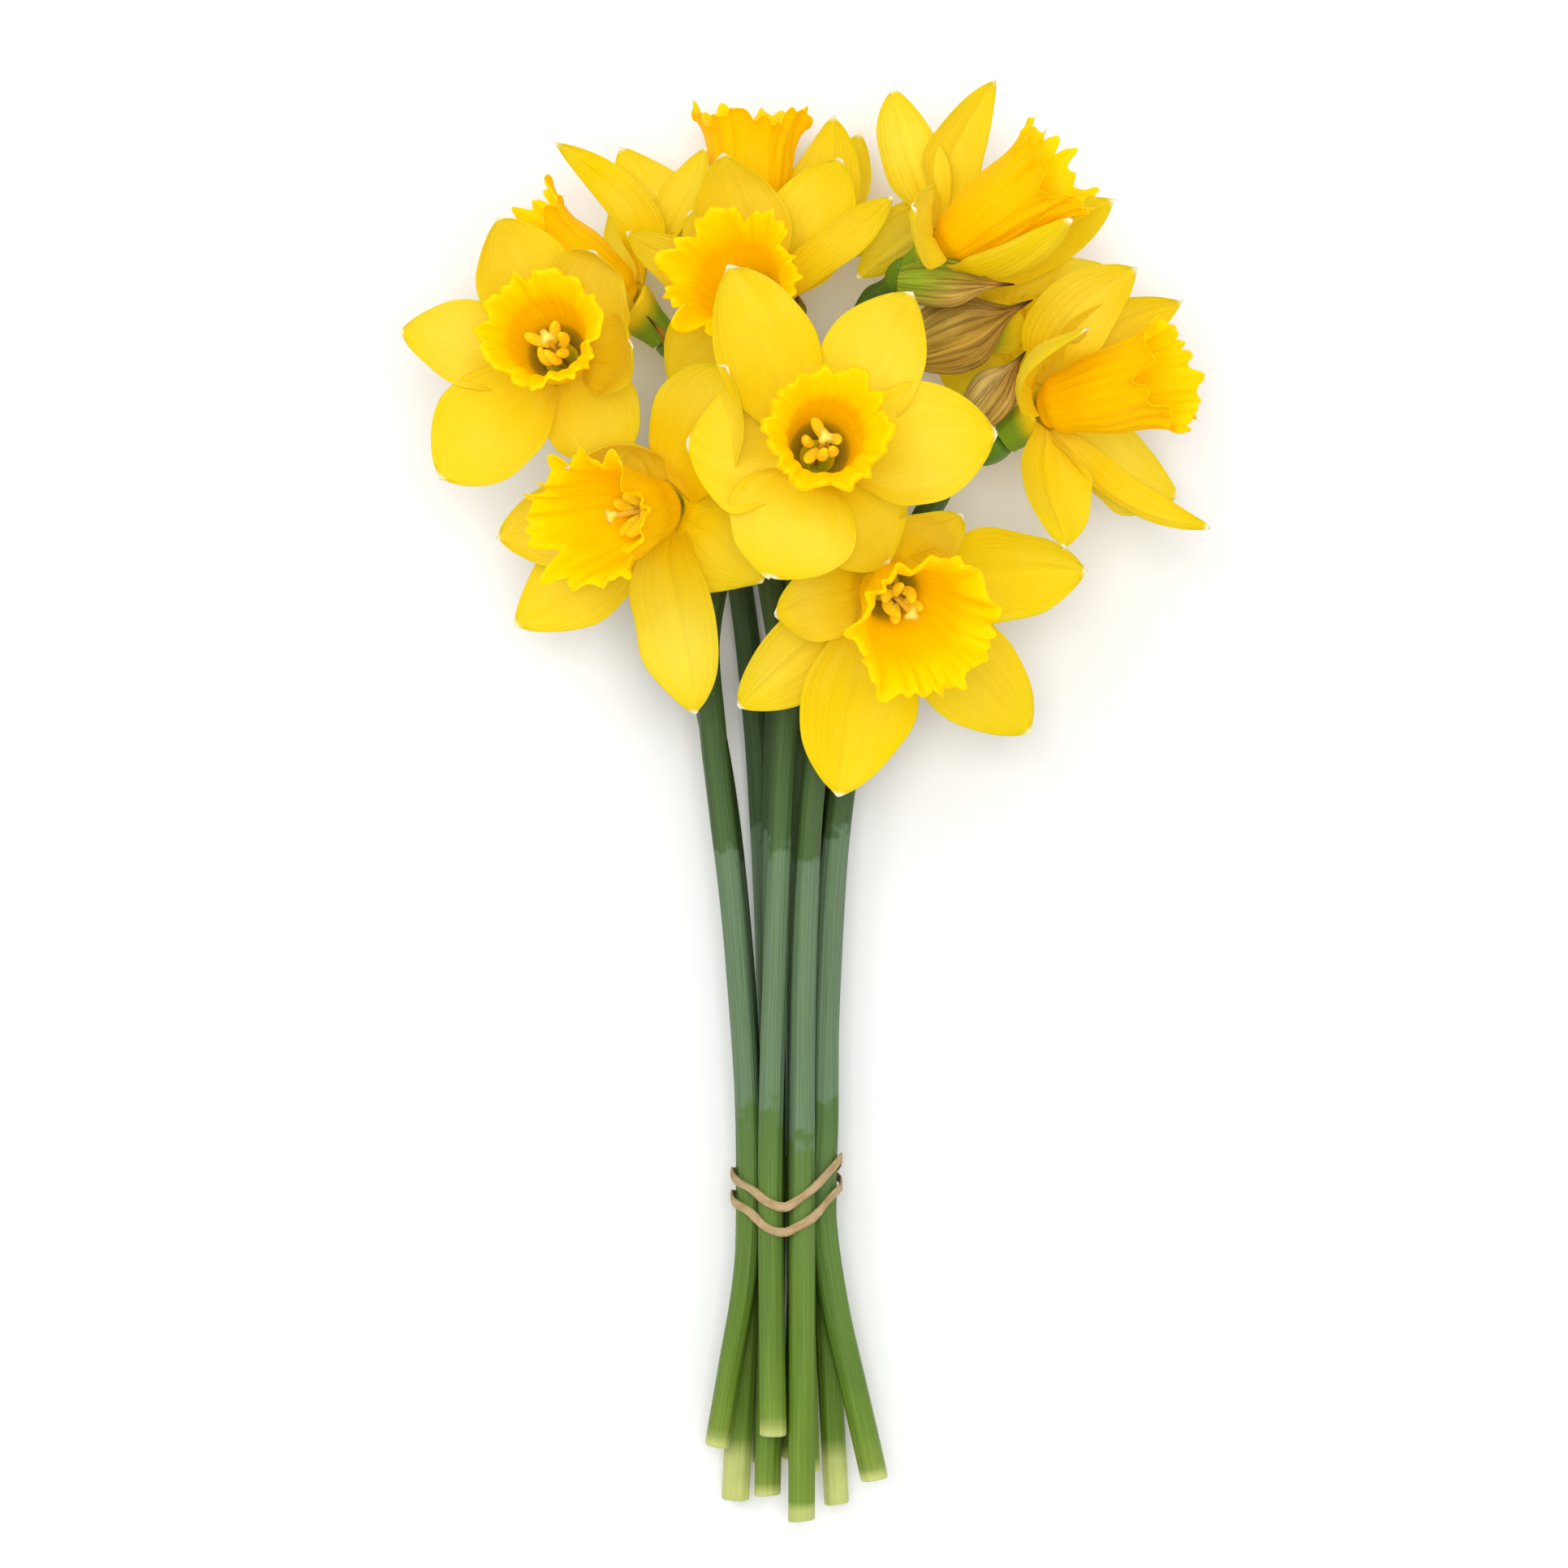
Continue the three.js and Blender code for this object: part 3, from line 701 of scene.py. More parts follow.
def stem_material(patterns):
    """Stem green along its length: pale at the cut, yellow-green, mid green at the tie, a grey
    bloom above it, then dark green to the ovary, with fine ridges lengthwise."""
    f = Finish("stem_skin", patterns)
    fine, broad, soft = f.veins(46.0, 9.0), f.veins(9.0, 4.0, 5.0), f.patches(90.0)
    share_up = value_of(f.tree, "DIVIDE", f.mark("distance"), STEM_SCALE * MM)
    share_up = f.plus(share_up, f.scaled(soft, -0.012, 0.012))
    f.colour = f.row(share_up, [
        (0.0, (0.26, 0.34, 0.03)),
        (0.04, (0.15, 0.26, 0.012)),
        (0.10, (0.09, 0.185, 0.007)),
        (0.20, (0.09, 0.185, 0.018)),
        (0.30, (0.075, 0.16, 0.03)),
        (0.45, (0.045, 0.10, 0.028)),
        (0.60, (0.028, 0.066, 0.02)),
        (0.80, (0.025, 0.06, 0.015)),
        (1.0, (0.07, 0.16, 0.015)),
    ])
    shade = f.mark("shade")
    low_share = f.row(share_up, [(0.0, 0.8), (0.22, 0.5), (0.38, 0.1)])
    f.over(f.times(shade, low_share), (0.19, 0.30, 0.016))
    place = add(f.tree, "ShaderNodeTexCoord").outputs["Object"]
    place_y = add(f.tree, "ShaderNodeSeparateXYZ", {0: place}).outputs[1]
    uneven = f.plus(place_y, f.scaled(f.patches(160.0), -4 * MM, 4 * MM))
    uneven = f.plus(uneven, f.scaled(shade, -2 * MM, 12 * MM))
    low, high = BLOOM
    bloom = f.times(
        f.scaled(uneven, 0.0, 1.0, low - 3 * MM, low),
        f.scaled(uneven, 0.0, 1.0, high + 4 * MM, high),
    )
    f.over(f.times(bloom, 0.75), (0.155, 0.24, 0.15))
    f.over(f.scaled(fine, 0.0, 0.45), (0.025, 0.06, 0.012))
    f.over(f.scaled(broad, 0.0, 0.2), (0.20, 0.32, 0.09))
    f.over(f.mark("ovary"), (0.12, 0.25, 0.015))
    f.over(f.times(f.mark("end"), f.scaled(soft, 0.75, 1.0)), (0.56, 0.60, 0.19))
    pith = f.mixed(f.patches(900.0), (0.55, 0.56, 0.26), (0.78, 0.76, 0.48))
    f.over(f.mark("cut"), pith)
    height = f.plus(fine, f.times(broad, 0.7))
    return f.done(f.scaled(broad, 0.40, 0.58), height, 0.14, {"Specular IOR Level": 0.28})


def spathe_material(patterns):
    """Dry brown paper with dark fibres that run to a dark tip, and a green base."""
    f = Finish("spathe_paper", patterns)
    shade = f.mark("shade")
    fine, broad, soft = f.veins(26.0, 1.2, shade), f.veins(5.0, 0.8, shade), f.patches(150.0)
    f.colour = f.mixed(broad, (0.25, 0.115, 0.006), (0.64, 0.36, 0.035))
    f.over(f.times(f.mark("pale"), f.scaled(broad, 0.25, 1.0)), (0.86, 0.67, 0.26))
    f.over(f.times(soft, 0.25), (0.28, 0.13, 0.02))
    f.over(f.times(f.mark("green"), f.scaled(soft, 0.7, 1.0)), (0.27, 0.42, 0.02))
    f.over(f.times(f.row(fine, [(0.5, 0.0), (0.72, 1.0)]), 0.48), (0.06, 0.028, 0.006))
    f.over(f.mark("burnt"), (0.075, 0.035, 0.016))
    height = f.plus(fine, f.times(soft, 0.5))
    return f.done(f.scaled(soft, 0.55, 0.8), height, 0.3, {"Specular IOR Level": 0.08})


def pollen_material(patterns):
    """Golden anthers powdered with pollen, with a painted glow that brightens them in the throat's
    shade.
    """
    f = Finish("pollen", patterns)
    grain, soft = f.patches(2600.0), f.patches(250.0)
    f.colour = f.mixed(soft, (0.93, 0.65, 0.0), (0.98, 0.75, 0.02))
    f.over(f.times(grain, 0.35), (1.0, 0.80, 0.05))
    # painted glow: lifts the anthers out of the shade deep in the trumpet
    return f.done(f.scaled(grain, 0.7, 0.95), grain, 0.2, {"Specular IOR Level": 0.08}, painted_glow=0.14)


def filament_material(patterns):
    """Pale yellow filaments and style, greener towards the depth of the tube."""
    f = Finish("filament", patterns)
    soft, fine = f.patches(400.0), f.veins(6.0, 5.0)
    f.colour = f.mixed(f.along, (0.40, 0.36, 0.03), (0.93, 0.70, 0.08))
    f.over(f.times(soft, 0.3), (0.97, 0.80, 0.24))
    return f.done(f.scaled(soft, 0.4, 0.6), fine, 0.08, translucent(0.1, (1.0, 0.7, 0.2), 1.0))


def raffia_material(patterns):
    """Dry raffia: tan, with long fibres from straw to brown."""
    f = Finish("raffia", patterns)
    fine, broad, soft = f.veins(34.0, 14.0), f.veins(6.0, 6.0, 2.0), f.patches(300.0)
    f.colour = f.mixed(broad, (0.52, 0.34, 0.15), (0.74, 0.55, 0.29))
    f.over(f.scaled(fine, 0.0, 0.6), (0.30, 0.17, 0.06))
    f.over(f.times(soft, 0.3), (0.82, 0.66, 0.40))
    return f.done(f.scaled(fine, 0.6, 0.85), fine, 0.25, {"Specular IOR Level": 0.25})


# ---------------------------------------------------------------- the flowers' parts


def tepal_outline(s, broad, blunt):
    """A tepal's half width along it as a share of the greatest: it rises by a quarter sine from
    a waisted root to its broadest place, then falls as a power of the rest and ends in a nib."""
    root, nib = 0.42, 0.045
    rise = root + (1 - root) * np.sin(np.minimum(s / broad, 1) * math.pi / 2)
    rest = np.clip((s - broad) / (1 - broad), 0, 1)
    fall = (1 - rest**blunt) ** 0.82
    return np.maximum(rise * fall, nib * np.sqrt(np.clip(1 - s**40, 0.02, 1)))


def tepal(flower, shape, level, draw, rows=66, columns=45):
    """One tepal. Its midrib is a quadratic Bezier curve from the tube's mouth to the tip. The
    section is an arc across it whose bend comes from the roll, plus a groove on the midrib,
    ribs lengthwise, a wave that grows towards the edge, a twist that grows towards the tip,
    and a tip that hooks forwards. level is 1 for the inner ring of three and -1 for the outer."""
    bearing, reach, lift, width, roll, twist, wave, hook, up, swing = (*shape, 0, 0)[:10]
    tip = (reach * heading(bearing) + np.array([0, 0, lift])) * MM
    outward = unit(tip - tip.dot(flower.face) * flower.face)
    span = np.linalg.norm(tip)
    swing = math.radians(swing)
    outward = math.cos(swing) * outward + math.sin(swing) * np.cross(flower.face, outward)
    root, bend = outward * TEPAL_ROOT * MM, outward * 0.55 * span
    s = (1 - (1 - np.linspace(0, 1, rows)) ** 1.12)[:, None]
    quarter = 0.92 * math.pi / 2
    a = np.sin(np.linspace(-1, 1, columns) * quarter)[None, :] / math.sin(quarter)
    line = (1 - s) ** 2 * root + 2 * s * (1 - s) * bend + s**2 * tip
    tangent = unit(2 * (1 - s) * (bend - root) + 2 * s * (tip - bend))
    side = np.cross(flower.face, outward)
    side = unit(side - (side * tangent).sum(1, keepdims=True) * tangent)
    front = np.cross(tangent, side)
    face_up = np.arctan2(-side[:, 2:], front[:, 2:])
    turned = math.radians(twist) * smooth(0.15, 1, s) + up * face_up * smooth(0.0, 0.4, s)
    side_now = np.cos(turned) * side + np.sin(turned) * front
    front_now = np.cos(turned) * front - np.sin(turned) * side
    edge_waves = drift(draw, 2.0 * np.sign(a), 12 * s, reach=1.4)
    outline = tepal_outline(s, draw.uniform(0.40, 0.50), draw.uniform(1.9, 2.4))
    half = 0.5 * width * MM * outline * (1 + 0.035 * edge_waves * np.abs(a))
    cup = 0.32 if level > 0 else 0.12
    arc = cup + (roll * (1 if level > 0 else 0.75) - cup) * np.sin(math.pi * s**0.8) + 1e-3
    arc = arc + 0.9 * smooth(0.93, 1.0, s)
    over = half * np.sin(arc * a) / arc
    rise = half * (1 - np.cos(arc * a)) / arc - 0.2 * arc * half
    middle_of = np.sin(math.pi * s) ** 0.7
    groove = -0.6 * MM * np.exp(-((a / 0.1) ** 2)) * smooth(0.0, 0.1, s) * smooth(1.0, 0.75, s)
    ribs = 0.07 * MM * np.cos(TURN * 5.5 * a + 0.7 * np.sin(4 * s)) * middle_of
    waves = wave * MM * np.abs(a) ** 2.2 * middle_of
    waves = waves * drift(draw, 2.5 * np.sign(a), 15 * s, reach=1.0)
    swell = 0.5 * MM * drift(draw, 2.2 * a, 5.0 * s, reach=1.3) * smooth(0.05, 0.3, s)
    hooked = hook * MM * smooth(0.72, 1.0, s) ** 1.5
    layer = level * TEPAL_LAYER * MM * smooth(0.0, 0.25, s)
    forwards = rise + groove + ribs + waves + swell + hooked + layer
    sink = 2.0 * MM * (1 - smooth(0.0, 0.16, s))
    moves = (side_now, over), (front_now, forwards), (-flower.face, sink)
    middle = off(flower.throat + line, *moves)
    wall = (TEPAL_WALL + 0.7 * smooth(0.25, 0.0, s)) * MM * (1 - 0.72 * a**4)
    nib = smooth(0.972, 0.992, s)
    pale = draw.uniform(0.0, 1.0) * np.exp(-(((s - 0.64) / 0.27) ** 2)) * (1 - 0.5 * a**2)
    return leaf(middle, wall, shade=draw.uniform(0, 9), nib=nib, pale=pale)


def floral_tube(flower, rows=64, columns=90):
    """The tube behind the tepals: a closed profile turned about the neck. It swells from the ovary
    to a mouth under the petals with six faint ribs, turns over and runs down inside."""
    knots = np.arange(len(TUBE_RADII))
    at = np.linspace(0, len(TUBE_RADII) - 1, rows)
    r, h = (through(knots, values, at)[:, None] for values in (TUBE_RADII, TUBE_HEIGHTS))
    angle = angles_round(columns)
    outside = smooth(7.0, 4.0, at)[:, None]
    ribs = 0.16 * outside * np.cos(6 * angle) + 0.05 * outside * np.cos(18 * angle)
    grid = flower.around((r + ribs) * MM, angle, h * MM)
    neck = smooth(-4.0, -11.0, h) * (0.4 + 0.6 * outside)
    return rod(grid, neck=neck, shade=0.5)


def ruffled(draw, angle):
    """An uneven ruffle round a rim, about -1 to 1: a sum of cosines with whole numbers of waves
    from 4 to 17 and drawn phases, so that it closes."""
    waves = np.array([4, 6, 7, 11, 13, 17])[:, None]
    return np.cos(waves * angle + draw.uniform(0, TURN, waves.shape)).sum(0, keepdims=True) / 2.6


def trumpet(flower, draw, rows=52, columns=288):
    """The trumpet: a smooth profile of radius and height turned about the face, which opens out by
    its flare. Lobes, folds, fine pleats and an uneven ruffle push the wall in and out more and
    more towards the rim, and a ragged row of rounded teeth lengthens it there."""
    frill, flare = FRILLS[flower.name]
    length, rim = flower.length, flower.rim
    foot = TRUMPET_FOOT * MM
    waist = foot + (0.45 - 0.25 * flare) * (rim - foot)
    k = (1 - (1 - np.linspace(0, 1, rows)) ** 1.35)[:, None]
    angle = angles_round(columns)
    knots = [0, 0.05, 0.11, 0.22, 0.47, 0.72, 0.87, 0.95, 1.0]
    shares = np.array([0.86 - 0.2 * flare, 0.90 - 0.08 * flare, 0.95 - 0.02 * flare, 1.0])
    radii = [*(np.array([4.7, 5.6, 7.4, 8.5]) * MM), waist, *(shares * rim)]
    rises = np.array([0.2, 0.46, 0.74, 0.885, 0.945, 0.985 - 0.045 * flare])
    heights = [-2.6 * MM, 0.2 * MM, 2.2 * MM, *(rises * length)]
    r = through(knots, radii, k[:, 0])[:, None]
    h = through(knots, heights, k[:, 0])[:, None]
    phase = draw.uniform(0, TURN, 12)
    late = smooth(0.45, 1.0, k)
    warp = 0.2 * np.sin(2 * angle + phase[5]) + 0.1 * np.sin(5 * angle + phase[3])
    lobes = 0.045 * np.cos(6 * angle + phase[0]) + 0.03 * np.cos(10 * angle + phase[1] + 4 * warp)
    folds = 0.035 * np.cos(14 * (angle + warp) + phase[2])
    pleats = 0.018 * np.cos(29 * (angle + 0.7 * warp) + phase[4])
    ruffle, sag = (ruffled(draw, angle) for _ in range(2))
    out = rim * frill * (late**1.4 * (lobes + folds) + late**2 * (pleats + 0.04 * ruffle))
    ribs = 0.16 * MM * np.cos(18 * angle + phase[6] + 0.6 * np.sin(5 * angle))
    ribs = ribs * smooth(0.08, 0.5, k)
    sway = rim * 0.03 * late * np.cos(2 * angle + phase[7])
    uneven = 0.6 + 0.4 * np.sin(3 * angle + phase[9])
    scallops = np.abs(np.sin(9 * (angle + warp) + phase[8])) ** 0.4 * (0.4 + 0.6 * uneven)
    nicks = np.abs(np.sin(19 * (angle + 0.5 * warp) + phase[10])) ** 0.45 * (1.3 - uneven)
    teeth = (1.1 * scallops + 0.9 * nicks - 1.2) * MM * frill * smooth(0.88, 1.0, k) ** 1.2
    tilt = 0.25 + 0.35 * flare
    droop = length * 0.03 * frill * late**2 * np.cos(5 * angle + phase[11]) + 0.25 * out * late
    droop = droop + 0.9 * MM * frill * late**3 * np.cos(14 * (angle + warp) + phase[2] + 1.7)
    droop = droop + 1.1 * MM * frill * late**2 * sag
    r = r + out + ribs + sway + tilt * teeth
    grid = flower.around(r, angle, h + droop + (1 - tilt) * teeth)
    wall = (TRUMPET_WALL - 0.35 * smooth(0.5, 1.0, k)) * MM
    skin = leaf(grid, wall, round_=True)
    height = (skin["points"] - flower.throat).dot(flower.face)
    skin["marks"]["inner"] = inner_side(skin, flower)
    # the olive throat, darkened as painted shade towards the trumpet's foot on its inner side
    skin["marks"]["deep"] = 0.9 * smooth(0.2, 0.02, height / length) * skin["marks"]["inner"]
    return skin


def inner_side(skin, flower):
    """1 on the points of a trumpet that face its own axis and 0 on those that face away."""
    points, corners = skin["points"], skin["corners"]
    normals = np.zeros_like(points)
    np.add.at(normals, corners.ravel(), np.repeat(crosses(points, corners), 3, axis=0))
    height = (points - flower.throat).dot(flower.face)
    outward = points - flower.throat - height[:, None] * flower.face
    return (np.einsum("ij,ij->i", normals, outward) < 0).astype(float)


def swept(path, radius, columns, section=None):
    """Rings of points along a path: at each angle the radius, times a section shape if given."""
    normals, binormals = carried(path, (0.3, 0.2, 1.0))
    angle = angles_round(columns)
    r = np.broadcast_to(radius, (len(path), columns)) * (1 if section is None else section(angle))
    return off(path, (normals, r * np.cos(angle)), (binormals, r * np.sin(angle)))


def anther_section(angle):
    """An anther's section: round, with a groove at two opposite sides and four faint corners."""
    return 1 - 0.22 * np.abs(np.cos(angle)) ** 6 + 0.05 * np.cos(4 * angle)


def stamens(flower, draw):
    """Six filaments with long grooved anthers round a style with a three-lobed stigma. Each
    filament leans out from the depth of the tube, and its anther hangs across its top."""
    start = -0.6 * TUBE_LENGTH * MM
    skins, kinds = [], []
    for i in range(6):
        turn = TURN * i / 6 + draw.uniform(-0.15, 0.15)
        reach = STAMEN_LENGTH * MM * draw.uniform(0.9, 1.0)
        s = np.linspace(0, 1, 26)
        top = 21  # the filament's last row, where its anther hangs
        lean = (1.1 + 1.3 * s + 0.3 * np.sin(3 * s + i)) * MM
        path = flower.around(lean, turn + 0.25 * np.sin(2 * s + i), start + reach * s)
        skins.append(rod(swept(path[: top + 1], 0.42 * MM, 12)))
        kinds.append(0)
        away = unit(path[top] - flower.around(0.0, 0.0, start + reach * s[top]))
        along = unit(flower.face + draw.uniform(0.0, 0.7) * away + draw.uniform(-0.4, 0.4, 3))
        spine = path[top] + along * ((s - 0.35) * ANTHER_LENGTH * MM)[:, None]
        spine = spine + away * (0.8 * MM * np.sin(math.pi * s) + 0.7 * MM)[:, None]
        fat = (1.5 * MM * np.sin(math.pi * np.clip(s, 0.004, 0.996)) ** 0.45)[:, None]
        skins.append(rod(swept(spine, fat, 24, anther_section)))
        kinds.append(1)
    s = np.linspace(0, 1, 60)
    path = flower.around(0.0, 0.0, start + STYLE_LENGTH * MM * s)
    wide = 0.62 + 1.25 * smooth(0.93, 0.985, s)
    wide = (wide * np.sqrt(np.clip(1 - smooth(0.985, 1.0, s), 0.05, 1)) * MM)[:, None]
    wide = wide * (1 + 0.28 * smooth(0.92, 0.96, s)[:, None] * np.cos(3 * angles_round(24)))
    skins.append(rod(swept(path, wide, 24)))
    kinds.append(0)
    return skins, kinds


def stem(flower, draw, columns=56):
    """The stem: a flattened, finely ridged section carried along the measured middle line. The
    cut end turns in over a bevel to a dished pith, and the top swells into the ovary."""
    steps = np.linalg.norm(np.diff(flower.stem, axis=0), axis=1)
    knots = np.concatenate([[0], np.cumsum(steps)])
    total = knots[-1]
    # the rows stand closer over the last 55 mm, where the stem bends to its flower
    length = total / MM
    rows = np.linspace(0.9, length - 55, 100), np.linspace(length - 54.4, length, 84)
    at = np.concatenate(rows) * MM
    path = through(knots, flower.stem, at)
    radius = through(knots, flower.radii, at)
    from_top = (total - at) / MM
    bulge = np.clip(from_top / OVARY_LENGTH, 0, 1)
    ovary = smooth(1.0, 0.9, bulge)
    swell = OVARY_SWELL * np.sin(math.pi * bulge) ** 0.8
    swollen = (OVARY_RADIUS + swell - OVARY_TAPER * bulge) * MM
    radius = radius * (1 - ovary) + swollen * ovary
    sides = carried(path, (0, 0, 1))
    tangent = unit(path[1] - path[0])
    # the cut end: shares of the radius and distances from the cut, inwards first
    shares = np.array([0.0, 0.2, 0.38, 0.5, 0.62, 0.8, 0.93, 0.99])
    depths = np.array([1.6, 1.5, 1.0, 0.35, 0.05, 0.0, 0.02, 0.3]) * MM
    ends = flower.stem[0] + tangent * depths[:, None]
    path = np.concatenate([ends, path])
    normals, binormals = (np.concatenate([side[:1].repeat(len(ends), 0), side]) for side in sides)
    radius = np.concatenate([shares * radius[0], radius])
    distance = np.concatenate([depths, at])
    bulge = np.concatenate([np.ones(len(ends)), bulge])
    angle = angles_round(columns)
    turned = draw.uniform(0, TURN) + 1.5 * distance[:, None] / total
    plain = smooth(0.6, 1.0, bulge)[:, None]
    section = (
        1
        + plain * 0.07 * np.cos(2 * (angle - turned))
        + plain * 0.022 * np.cos(9 * (angle - turned) + draw.uniform(0, TURN))
        + plain * 0.010 * np.cos(20 * (angle - turned))
        + (1 - plain) * 0.045 * np.cos(3 * angle)
    )
    drawn_in = 1 - 0.012 * drift(draw, np.cos(angle), 60 * distance[:, None], reach=2.0)
    r = radius[:, None] * section * drawn_in * 0.985
    grid = off(path, (normals, r * np.cos(angle)), (binormals, r * np.sin(angle)))
    slant = draw.uniform(-0.12, 0.12)
    near_cut = smooth(6 * MM, 0.0, distance)[:, None]
    grid = grid + tangent * (slant * near_cut * r * np.cos(angle - 1.0))[..., None]
    cut = 1.0 * (np.arange(len(path)) < len(shares) - 1)[:, None]
    pale_end = PALE_ENDS.get(flower.name, 3.0) * MM
    return rod(
        grid,
        cut=cut,
        shade=draw.uniform(0, 1),
        end=smooth(1.25 * pale_end, 0.75 * pale_end, distance)[:, None],
        ovary=smooth(12.0, 7.0, np.concatenate([np.full(len(ends), 99.0), from_top]))[:, None],
        distance=distance[:, None],
    )


def measured_spathe(flower):
    """The root, directions, length and width of a CAD spathe, from its main axes."""
    points, _ = welded(f"spathe_{flower.name}")
    middle, axes = main_axes(points)
    along, across = axes[0], axes[1]
    node = flower.stem[-1] - flower.neck * NODE_TO_OVARY * MM
    if (middle - node).dot(along) < 0:
        along = -along
    place = (points - middle).dot(along)
    width = np.ptp((points - middle).dot(across))
    out = np.cross(across, along)
    if (middle - (node + flower.neck * flower.neck.dot(middle - node))).dot(out) < 0:
        out, across = -out, -across
    root = middle + along * place.min()
    return root, along, across, out, np.ptp(place), SPATHE_SPREAD * width


def spathe(flower, draw, rows=60, columns=41):
    """The spathe: a papery hood measured from its CAD blade. Its half width swells and runs to a
    point, its section is an arc that opens towards the neck, fibres groove it lengthwise, the
    paper crumples, and the tip curls."""
    green, pale, roll, *placed = SPATHES[flower.name]
    if placed:
        width, root, tip = placed
        base = flower.throat + np.array(root) * MM
        blade = (np.array(tip) - np.array(root)) * MM
        width, length, along = width * MM, np.linalg.norm(blade), unit(blade)
        out = unit(np.array([0.0, 0.0, 1.0]) - along[2] * along)
        across = np.cross(along, out)
    else:
        base, along, across, out, length, width = measured_spathe(flower)
    s = np.linspace(0, 1, rows)[:, None]
    a = np.linspace(-1, 1, columns)[None, :]
    swell = np.sin(math.pi * (0.14 + 0.86 * s) ** 0.85) ** 0.9
    swell = swell * (1 - 0.75 * smooth(0.45, 0.9, s))
    half = 0.52 * width * np.maximum(swell, 0.05 * (1 - 0.7 * s))
    arc = roll * (1 - 0.35 * s)
    over = half * np.sin(arc * a) / arc
    rise = -half * (1 - np.cos(arc * a)) / arc + 0.35 * half
    crumple = 0.45 * drift(draw, 3.0 * a, 7 * s, reach=1.6) * smooth(0.0, 0.3, s)
    fibres = 0.10 * np.cos(TURN * 4.5 * a + 1.5 * np.sin(5 * s))
    edge = 0.7 * np.abs(a) ** 3 * drift(draw, 2.0 * np.sign(a), 14 * s, reach=1.2)
    curl = draw.uniform(1.2, 2.4) * smooth(0.8, 1.0, s) ** 1.3
    sway = draw.uniform(-1.2, 1.2) * smooth(0.7, 1.0, s)
    rise = rise + (crumple + fibres + edge + curl) * MM
    grid = off(base + along * length * s, (across, over + sway * MM), (out, rise))
    wall = SPATHE_WALL * MM * (1 - 0.6 * a**4)
    burnt = 0.95 * smooth(0.8, 0.97, s) + 0.25 * smooth(0.86, 1.0, np.abs(a))
    greenness = green * smooth(0.75, 0.1, s + 0.25 * a)
    pale_side = np.sign(draw.uniform(-1, 1))
    paleness = pale * (0.35 + 0.65 * smooth(-0.2, 0.4, a * pale_side)) * smooth(1.0, 0.5, s)
    return leaf(
        grid,
        wall,
        shade=draw.uniform(0, 9),
        burnt=np.clip(burnt, 0, 1),
        green=np.clip(greenness, 0, 1),
        pale=paleness,
    )


# ---------------------------------------------------------------- the tie


def strand(path, out, width, wall, ring, draw, columns=44):
    """A flat strand of raffia along a path: an oval section, width by wall in millimetres, with
    grooves between its fibres and edges that waver. out is the direction square to its flat."""
    if ring:
        tangent = unit(np.roll(path, -1, 0) - np.roll(path, 1, 0))
    else:
        tangent = unit(np.gradient(path, axis=0))
    out = unit(out - (out * tangent).sum(1, keepdims=True) * tangent)
    side = np.cross(tangent, out)
    angle = angles_round(columns)
    t = np.linspace(0, TURN, len(path), endpoint=not ring)[:, None]
    c, d = np.sin(angle), np.cos(angle)
    phase = draw.uniform(0, TURN, 4)
    broad = 0.07 * np.sin(5 * t + phase[0]) + 0.05 * np.sin(11 * t + phase[1])
    across = 0.5 * width * MM * (1 + broad) * c
    lean = 0.14 * np.sin(3 * t + phase[2])
    fibres = 1 - 0.16 * np.sin(3.0 * math.pi * c + 0.5 * np.sin(4 * t + phase[3])) ** 2
    thick = 0.5 * wall * MM * np.sign(d) * np.abs(d) ** 0.7 * fibres
    return off(path, (side, across * np.cos(lean)), (out, thick + across * np.sin(lean) * 0.4))


def turn_radius(turn):
    """How far the raffia runs from the bundle's middle: an eight-sided outline with rounded
    corners round the stems, smoothed over its neighbours."""
    pitch = (2 * TIED_STEM + TIED_GAP) * MM
    clear = (TIED_STEM + TIED_GAP + TIED_HALF_WALL) * MM
    side = TURN / TIED_SIDES
    from_flat = turn - side * np.round(turn / side)
    flat = 1.5 * pitch * math.cos(math.pi / TIED_SIDES) + clear
    r = np.minimum(flat / np.cos(from_flat), 1.5 * pitch + clear)
    return 0.5 * r + 0.25 * (np.roll(r, 9) + np.roll(r, -9))


